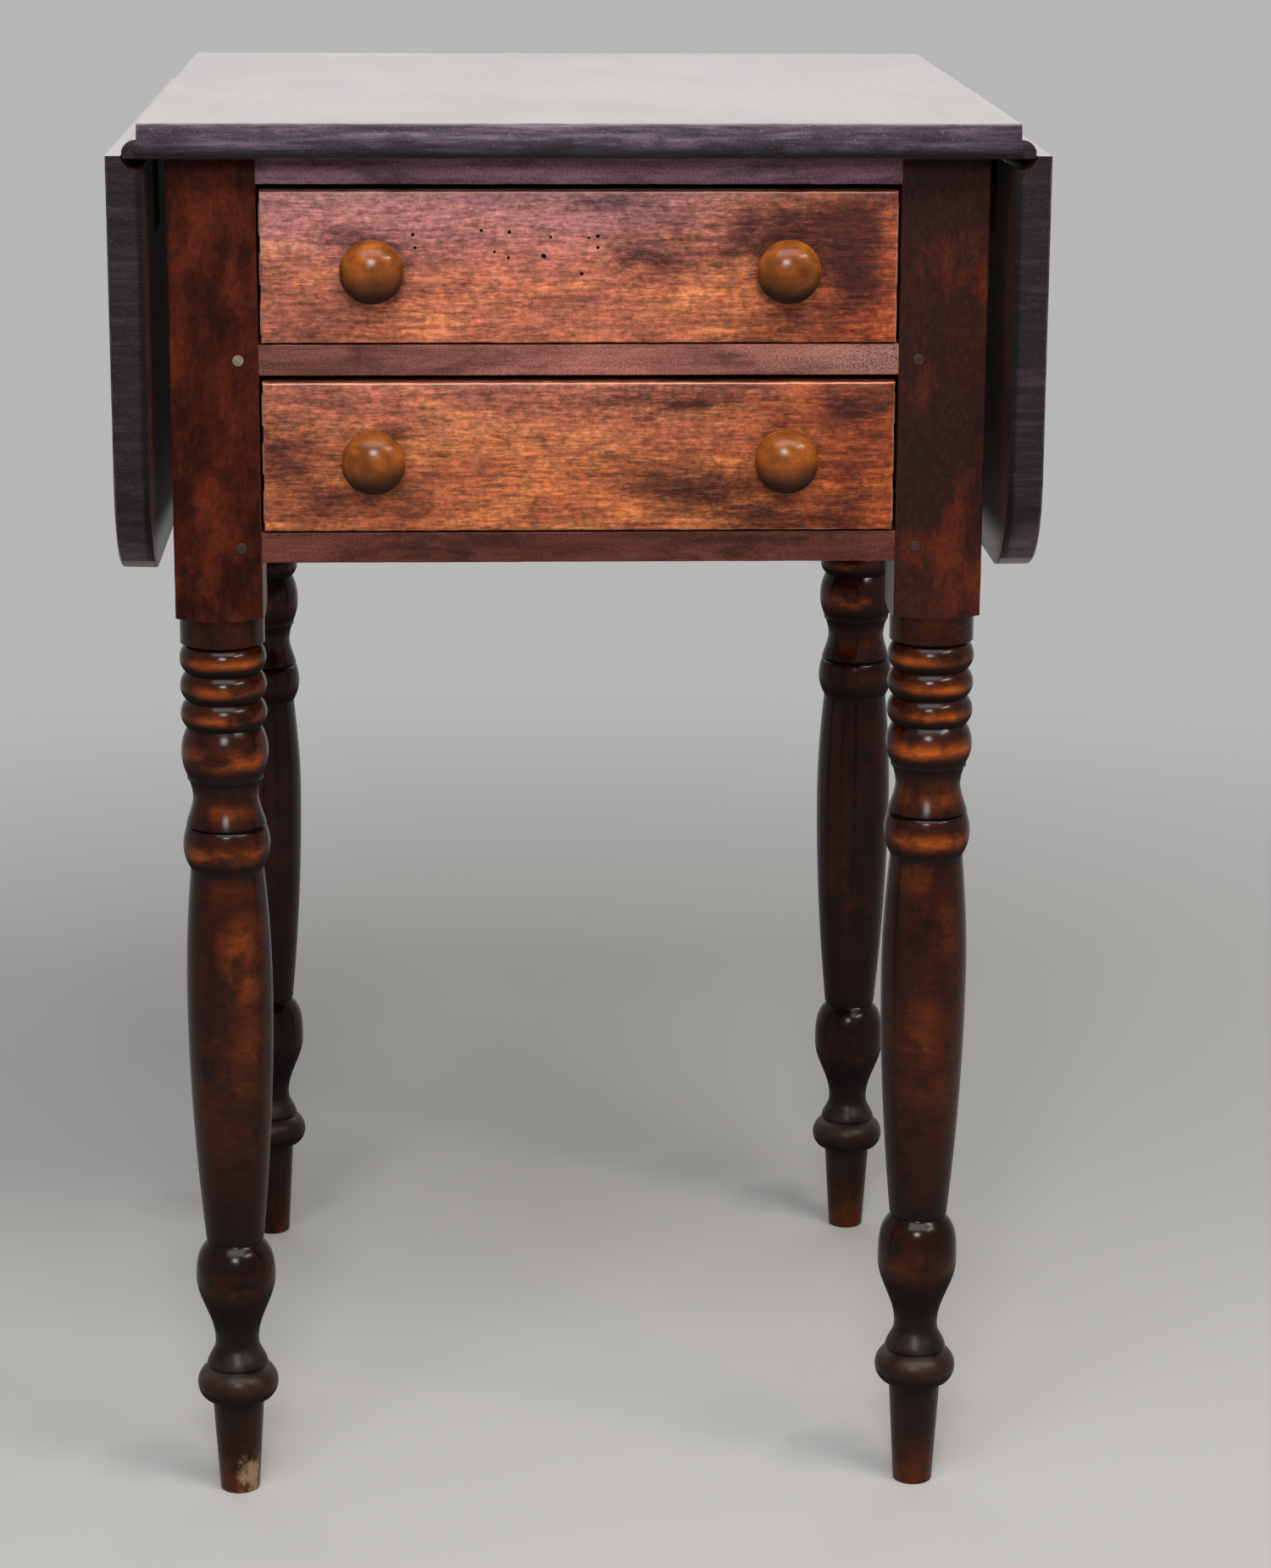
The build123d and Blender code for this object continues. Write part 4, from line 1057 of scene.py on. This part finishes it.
class STAND_OT_legs(bpy.types.Operator):
    """Adds the four legs, each a square post over a leg turned by hand"""

    bl_idname = "stand.add_legs"
    bl_label = "Legs"

    def execute(self, context):
        size = sizes()
        pair = [post_finish(finishes()), leg_finish(finishes())]
        post_low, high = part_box("front_left_leg")
        post = self.add_post((post_low + high) / 2, high.z)
        nodes = [f"{end}_{side}_leg" for end in ENDS for side in SIDES]
        turned = size.shoulder + 0.05 * MM
        for node, *heights in zip(nodes, size.foot_heights, size.vase_heights, size.bead_heights):
            low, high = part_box(node)
            foot, vase, bead = (height / MM for height in heights)
            places = (foot, foot + VASE_FOOT + vase, BEAD_TOP - bead)
            axis = Vector(((low.x + high.x) / 2, (low.y + high.y) / 2, 0))
            outline = [axis + Vector((r * MM, 0, z * MM)) for r, z in leg_outline(*places)]
            leg = turn_piece(f"turned_{node}", outline, axis, (0, 0, 1), size.turning_steps)
            cut(leg, [copy_piece(post, "post_copy", low - post_low)], "UNION")
            # Per point: how far it stands out, which sets the grime and painted shade of the hollows, and its
            # share of painted amber glow
            values = [crest_at(v.co.z / MM, *places) for v in leg.data.vertices]
            for index, name in enumerate(("crest", "painted_glow")):
                layer = leg.data.attributes.new(name, "FLOAT", "POINT")
                layer.data.foreach_set("value", [value[index] for value in values])
            hand_over(
                leg,
                pair,
                "leg_finish",
                "case",
                node,
                crease=40.0,
                choose=lambda face: int(face.center.z < turned),
            )
        take(post)
        bpy.ops.object.delete()
        return {"FINISHED"}

    @staticmethod
    def add_post(axis, top):
        """Adds a square post with worn corners, turned to a slant where the turning starts."""
        size = sizes()
        half = size.post_size / 2
        axis = Vector((axis.x, axis.y, 0))
        corner = axis + Vector((-half, -half, size.shoulder))
        post = start_block("post", corner, axis + Vector((half, half, top)))
        round_edges(post, along(2, 0.1), size.post_edge)
        divide_edges(post, along(2, 0.1), cuts=60)
        wear_edges(
            post,
            lambda p: min(half - abs(p.x - axis.x), half - abs(p.y - axis.y)) < MM
            and max(half - abs(p.x - axis.x), half - abs(p.y - axis.y)) < 3 * MM,
            depth=size.edge_wear * 0.7,
            patch=0.016,
        )
        slope, reach = 0.268, 0.02
        pommel = [(0, size.shoulder), (half, size.shoulder), (half + reach, size.shoulder + reach * slope)]
        pommel += [(half + reach, top + 0.01), (0, top + 0.01)]
        outline = [axis + Vector((r, 0, z)) for r, z in pommel]
        shape = turn_piece("pommel", outline, axis, (0, 0, 1), steps=96)
        cut(post, [shape], "INTERSECT")
        return post


class STAND_OT_rails(bpy.types.Operator):
    """Adds the three front rails between the posts"""

    bl_idname = "stand.add_rails"
    bl_label = "Rails"

    def execute(self, context):
        size = sizes()
        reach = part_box("front_right_leg")[0].x + MM
        tones = finishes()
        lights = (tones.rail_top, tones.rail_middle, tones.rail_bottom)
        for node, light in zip(("top_rail", "middle_rail", "bottom_rail"), lights):
            low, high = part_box(node)
            rail = start_block(f"worn_{node}", (-reach, low.y, low.z), (reach, high.y, high.z))
            round_edges(rail, lambda a, b: along(0, 0.1)(a, b) and a.y < low.y + MM, size.rail_edge)
            divide_edges(rail, along(0, 0.1), cuts=64)
            wear_edges(rail, lambda p: p.y < low.y + 1.2 * MM, depth=size.edge_wear * 0.5, patch=0.012)
            finish = rail_finish(tones, f"smoky_{node}", 0, light, 0.5 if node == "middle_rail" else 1.0)
            hand_over(rail, [finish], "rail_finish", "case", node)
        return {"FINISHED"}


# Worm holes of the upper drawer front in millimetres: place from its middle, and radius
WORM_HOLES = (
    (-83, 16.5, 1.0),
    (-82, 10, 0.8),
    (-49, 18.5, 0.8),
    (-35, 17.7, 0.9),
    (-42.5, 8, 0.7),
    (-35.6, 5, 0.8),
    (-18, 5.8, 1.2),
    (1, -3, 0.9),
    (4.5, 14.7, 0.7),
    (9, 15.7, 0.9),
    (9, 10, 0.8),
    (-14.5, 15.2, 0.7),
)


class STAND_OT_drawer_fronts(bpy.types.Operator):
    """Adds the two drawer fronts with worn edges, the upper one with worm holes"""

    bl_idname = "stand.add_drawer_fronts"
    bl_label = "Drawer fronts"

    def execute(self, context):
        size = sizes()
        hole = hole_finish(finishes())
        set_back = Vector((0.25 * MM, 0, 0))  # so that the tails of the drawer sides show
        for level in LEVELS:
            node = f"{level}_drawer_front"
            low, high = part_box(node)
            front = start_block(f"worn_{node}", low + set_back, high - set_back)
            round_edges(front, lambda a, b: max(a.y, b.y) < low.y + MERGE, size.drawer_edge)
            divide_edges(front, along(0, 0.1), cuts=72)
            divide_edges(front, along(2, 0.03), cuts=18)
            near = 2.4 * size.drawer_edge
            wear_edges(
                front,
                lambda p: p.y < low.y + near and min(high.x - abs(p.x), high.z - p.z, p.z - low.z) < near,
                depth=size.edge_wear,
                patch=0.01,
            )
            if level == "upper":
                self.bore_worm_holes(front, low, high)
            finish = drawer_finish(finishes(), level)
            hand_over(
                front,
                [finish, hole],
                "drawer_front_finish",
                f"{level}_drawer",
                node,
                choose=lambda face: int(self.in_hole(face, low, high)),
            )
        return {"FINISHED"}

    @staticmethod
    def bore_worm_holes(front, low, high):
        """Bores the worm holes into a front, each at its own slant."""
        middle = (low.z + high.z) / 2
        cutters = []
        for x, rise, radius in WORM_HOLES:
            centre = (x * MM, low.y, middle + rise * MM)
            slant = (math.pi / 2 + 0.5 * math.sin(x), 0.02 * x, 0.6 * math.cos(x))
            cutters.append(start_rod("hole", centre, radius * MM, 5 * MM, slant, sides=10))
        cut(front, cutters)

    @staticmethod
    def in_hole(face, low, high):
        """Tells whether a face lies behind the drawer's face and well inside its outline."""
        c = face.center
        inset = 4 * MM
        inside = abs(c.x) < high.x - inset and low.z + inset < c.z < high.z - inset
        return inside and low.y + 0.05 * MM < c.y < low.y + 5 * MM and face.normal.y > -0.7


class STAND_OT_knobs(bpy.types.Operator):
    """Adds the four turned mushroom knobs"""

    bl_idname = "stand.add_knobs"
    bl_label = "Knobs"

    def execute(self, context):
        size = sizes()
        finish = knob_finish(finishes())
        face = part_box("upper_drawer_front")[0].y
        low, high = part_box("upper_left_knob")
        centre = Vector(((low.x + high.x) / 2, face, (low.z + high.z) / 2))
        rim, rim_rise, dome = 16.0, 17.0, 10.0
        outline = [(0.0, 0.0), (13.4, 0.0), (14.0, 0.6), (14.0, 2.4), (13.5, 3.0)]
        outline += flow(
            ((13.5, 3.0), (-1, 0.2)),
            ((6.5, 8.0), (0, 1)),
            ((rim, rim_rise), (0, 1)),
            count=16,
        )
        turns = [math.pi / 2 * step / 24 for step in range(1, 25)]
        outline += [(rim * math.cos(turn), rim_rise + dome * math.sin(turn)) for turn in turns]
        points = [centre + Vector((r * MM, -d * MM, 0)) for r, d in outline]
        knob = turn_piece("turned_upper_left_knob", points, centre, (0, 1, 0), size.knob_steps)
        for level in LEVELS:
            for side_name in SIDES:
                node = f"{level}_{side_name}_knob"
                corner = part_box(node)[0]
                piece = knob
                if node != "upper_left_knob":
                    piece = copy_piece(knob, f"turned_{node}", corner - low)
                hand_over(piece, [finish], "knob_finish", f"{level}_drawer", node, crease=50.0)
        return {"FINISHED"}


class STAND_OT_pegs(bpy.types.Operator):
    """Adds the four joint pegs in the front posts, whittled and a little proud"""

    bl_idname = "stand.add_pegs"
    bl_label = "Joint pegs"

    def execute(self, context):
        size = sizes()
        low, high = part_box("joint_pegs")
        pegs = []
        for x in (low.x + size.peg_radius, high.x - size.peg_radius):
            for z in (low.z + size.peg_radius, high.z - size.peg_radius):
                centre = (x, (low.y + high.y) / 2, z)
                turn = (math.pi / 2, 0.7 * len(pegs), 0)
                radius = size.peg_radius * 0.98
                peg = start_rod("whittled_joint_pegs", centre, radius, high.y - low.y, turn, sides=11)
                round_edges(peg, lambda a, b: max(a.y, b.y) < low.y + 0.05 * MM, 0.35 * MM, segments=2)
                pegs.append(peg)
        take(*pegs)
        bpy.ops.object.join()
        piece = bpy.context.view_layer.objects.active
        piece.name = piece.data.name = "whittled_joint_pegs"
        tones = finishes()
        pair = [peg_finish("dark_peg", tones.peg_dark), peg_finish("pale_peg", tones.peg_pale)]
        middle = (low.z + high.z) / 2
        hand_over(
            piece,
            pair,
            "peg_wood",
            "case",
            "joint_pegs",
            choose=lambda face: int(face.center.x < 0 and face.center.z > middle),
        )
        return {"FINISHED"}


class STAND_OT_case(bpy.types.Operator):
    """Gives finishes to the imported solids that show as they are: panels, drawer boxes, strips and hinges"""

    bl_idname = "stand.dress_case"
    bl_label = "Case, drawer boxes and hinges"

    def execute(self, context):
        tones = finishes()
        panels = [rail_finish(tones, "smoky_panels_" + "xy"[i], i, tones.rail_bottom) for i in range(2)]
        bare = [bare_finish(tones, grain) for grain in range(2)]
        iron = metal_finish("rusty_iron", tones.iron, tones.rust, 0.45, 0.8)
        steel = metal_finish("dull_steel", tones.steel, shade(tones.steel, 0.4), 0.4, 0.9)
        across = ("back", "cleat", "support", "stops")
        for name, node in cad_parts.items():
            if node.hide_render:
                continue
            slot = node.data.materials[0].name.split(".")[0]
            grain = 0 if any(word in name for word in across) else 1
            choice = {"rail_finish": panels[grain], "bare_wood": bare[grain]}
            choice |= {"hinge_iron": iron, "screw_steel": steel}
            node.data.materials[0] = choice[slot]
        return {"FINISHED"}


def seen_rays(tree):
    """Gives 1 for the rays that show the background: from the camera, off gloss or through glass."""
    rays = tree.nodes.new("ShaderNodeLightPath").outputs
    seen = rays["Is Camera Ray"]
    for kind in ("Is Glossy Ray", "Is Transmission Ray"):
        either = tree.nodes.new("ShaderNodeMath")
        either.operation = "MAXIMUM"
        tree.links.new(seen, either.inputs[0])
        tree.links.new(rays[kind], either.inputs[1])
        seen = either.outputs[0]
    return seen


class STAND_OT_stage(bpy.types.Operator):
    """Sets up the pale floor, the soft light and the camera"""

    bl_idname = "stand.set_stage"
    bl_label = "Stage"

    def execute(self, context):
        stage = context.scene.stand_stage
        put_down()
        bpy.ops.mesh.primitive_circle_add(vertices=96, radius=40.0, fill_type="NGON")
        floor = name_piece("pale_floor")
        floor.data.materials.append(self.floor_paint(stage))
        context.scene.world = self.surroundings(stage)
        self.lamp("front_lamp", (-0.12, -2.3, 1.48), (0, 0, 0.42), (0.55, 0.45), stage.front_level)
        self.lamp("ceiling_panel", (0, -1.5, 2.3), (0, -0.1, 0.5), (2.2, 0.9), stage.ceiling_level)
        warm = (1.0, 0.93, 0.76)
        self.lamp("side_lamp", (1.6, -1.5, 2.1), (0, -0.2, 0.4), (1.0, 0.12), stage.side_level, warm)
        self.lamp("sheen_panel", (0.05, 1.35, 1.35), (0.05, 0, 0.93), (2.6, 1.0), stage.sheen_level)
        turn = Matrix.Rotation(stage.camera_heading, 3, "Z")
        turn @= Matrix.Rotation(math.pi / 2 - stage.camera_tilt, 3, "X")
        turn @= Matrix.Rotation(stage.camera_roll, 3, "Z")
        bpy.ops.object.camera_add(location=stage.camera_place, rotation=turn.to_euler())
        camera = bpy.context.view_layer.objects.active
        camera.data.lens = stage.camera_lens
        context.scene.camera = camera
        context.scene.view_settings.view_transform = "Standard"
        return {"FINISHED"}

    @staticmethod
    def lamp(name, place, target, size, power, tint=(1.0, 1.0, 1.0)):
        """Adds a rectangular lamp that shines at a target."""
        put_down()
        aim = (Vector(target) - Vector(place)).to_track_quat("-Z", "Y").to_euler()
        bpy.ops.object.light_add(type="AREA", location=place, rotation=aim)
        lamp = bpy.context.view_layer.objects.active
        lamp.name = name
        lamp.data.shape = "RECTANGLE"
        lamp.data.size, lamp.data.size_y = size
        lamp.data.energy = power
        lamp.data.color = tint

    @staticmethod
    def floor_paint(stage):
        """Pale floor, which fades to a plain background away from the stand."""
        paint = Finish("floor_paint")
        clouds = paint.noise((3.0, 3.0, 3.0))
        tone = paint.ramp(clouds, (0.3, shade(stage.floor_tone, 0.99)), (0.7, stage.floor_tone))
        paint.close(tone, 0.9, paint.relief(clouds, 0.0001), specular=0.1)
        reach = paint.add("VectorMath", {0: paint.place}, operation="LENGTH").outputs["Value"]
        far = paint.times(seen_rays(paint.tree), paint.levels(reach, 0.6, 1.8))
        plain = paint.add("Emission", {"Color": stage.far_tone, "Strength": 1.0}).outputs[0]
        both = paint.add("MixShader", {0: far, 1: paint.shader.outputs[0], 2: plain}).outputs[0]
        paint.fill(paint.tree.nodes["Material Output"].inputs["Surface"], both)
        return paint.material

    @staticmethod
    def surroundings(stage):
        """Even light from all around, which shows as the plain background."""
        world = bpy.data.worlds.new("surroundings")
        world.use_nodes = True
        tree = world.node_tree
        strength = tree.nodes.new("ShaderNodeMapRange")
        tree.links.new(seen_rays(tree), strength.inputs["Value"])
        strength.inputs["To Min"].default_value = stage.sky_level
        strength.inputs["To Max"].default_value = 1.0
        backdrop = tree.nodes["Background"]
        backdrop.inputs["Color"].default_value = (*stage.far_tone, 1.0)
        tree.links.new(strength.outputs[0], backdrop.inputs["Strength"])
        return world


# Panel and registration


class STAND_PT_panel(bpy.types.Panel):
    """Lists the stand's pieces in the sidebar"""

    bl_idname = "STAND_PT_panel"
    bl_label = "Work stand"
    bl_space_type = "VIEW_3D"
    bl_region_type = "UI"
    bl_category = "Work stand"

    def draw(self, context):
        for step in STEPS:
            self.layout.operator(step.bl_idname)


STEPS = (
    STAND_OT_top,
    STAND_OT_leaves,
    STAND_OT_legs,
    STAND_OT_rails,
    STAND_OT_drawer_fronts,
    STAND_OT_knobs,
    STAND_OT_pegs,
    STAND_OT_case,
    STAND_OT_stage,
)
GROUPS = {"stand_sizes": StandSizes, "stand_finishes": StandFinishes, "stand_stage": StandStage}


def register():
    """Registers the properties, the operators and the panel."""
    for group in GROUPS.values():
        bpy.utils.register_class(group)
    for step in STEPS:
        bpy.utils.register_class(step)
    bpy.utils.register_class(STAND_PT_panel)
    for name, group in GROUPS.items():
        setattr(bpy.types.Scene, name, PointerProperty(type=group))


def unregister():
    """Takes the panel, the operators and the properties out again."""
    for name in GROUPS:
        delattr(bpy.types.Scene, name)
    for group in (STAND_PT_panel, *reversed(STEPS), *GROUPS.values()):
        bpy.utils.unregister_class(group)


def main():
    """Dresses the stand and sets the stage."""
    register()
    bpy.ops.stand.add_top()
    bpy.ops.stand.add_leaves()
    bpy.ops.stand.add_legs()
    bpy.ops.stand.add_rails()
    bpy.ops.stand.add_drawer_fronts()
    bpy.ops.stand.add_knobs()
    bpy.ops.stand.add_pegs()
    bpy.ops.stand.dress_case()
    bpy.ops.stand.set_stage()


if __name__ == "__main__":
    main()
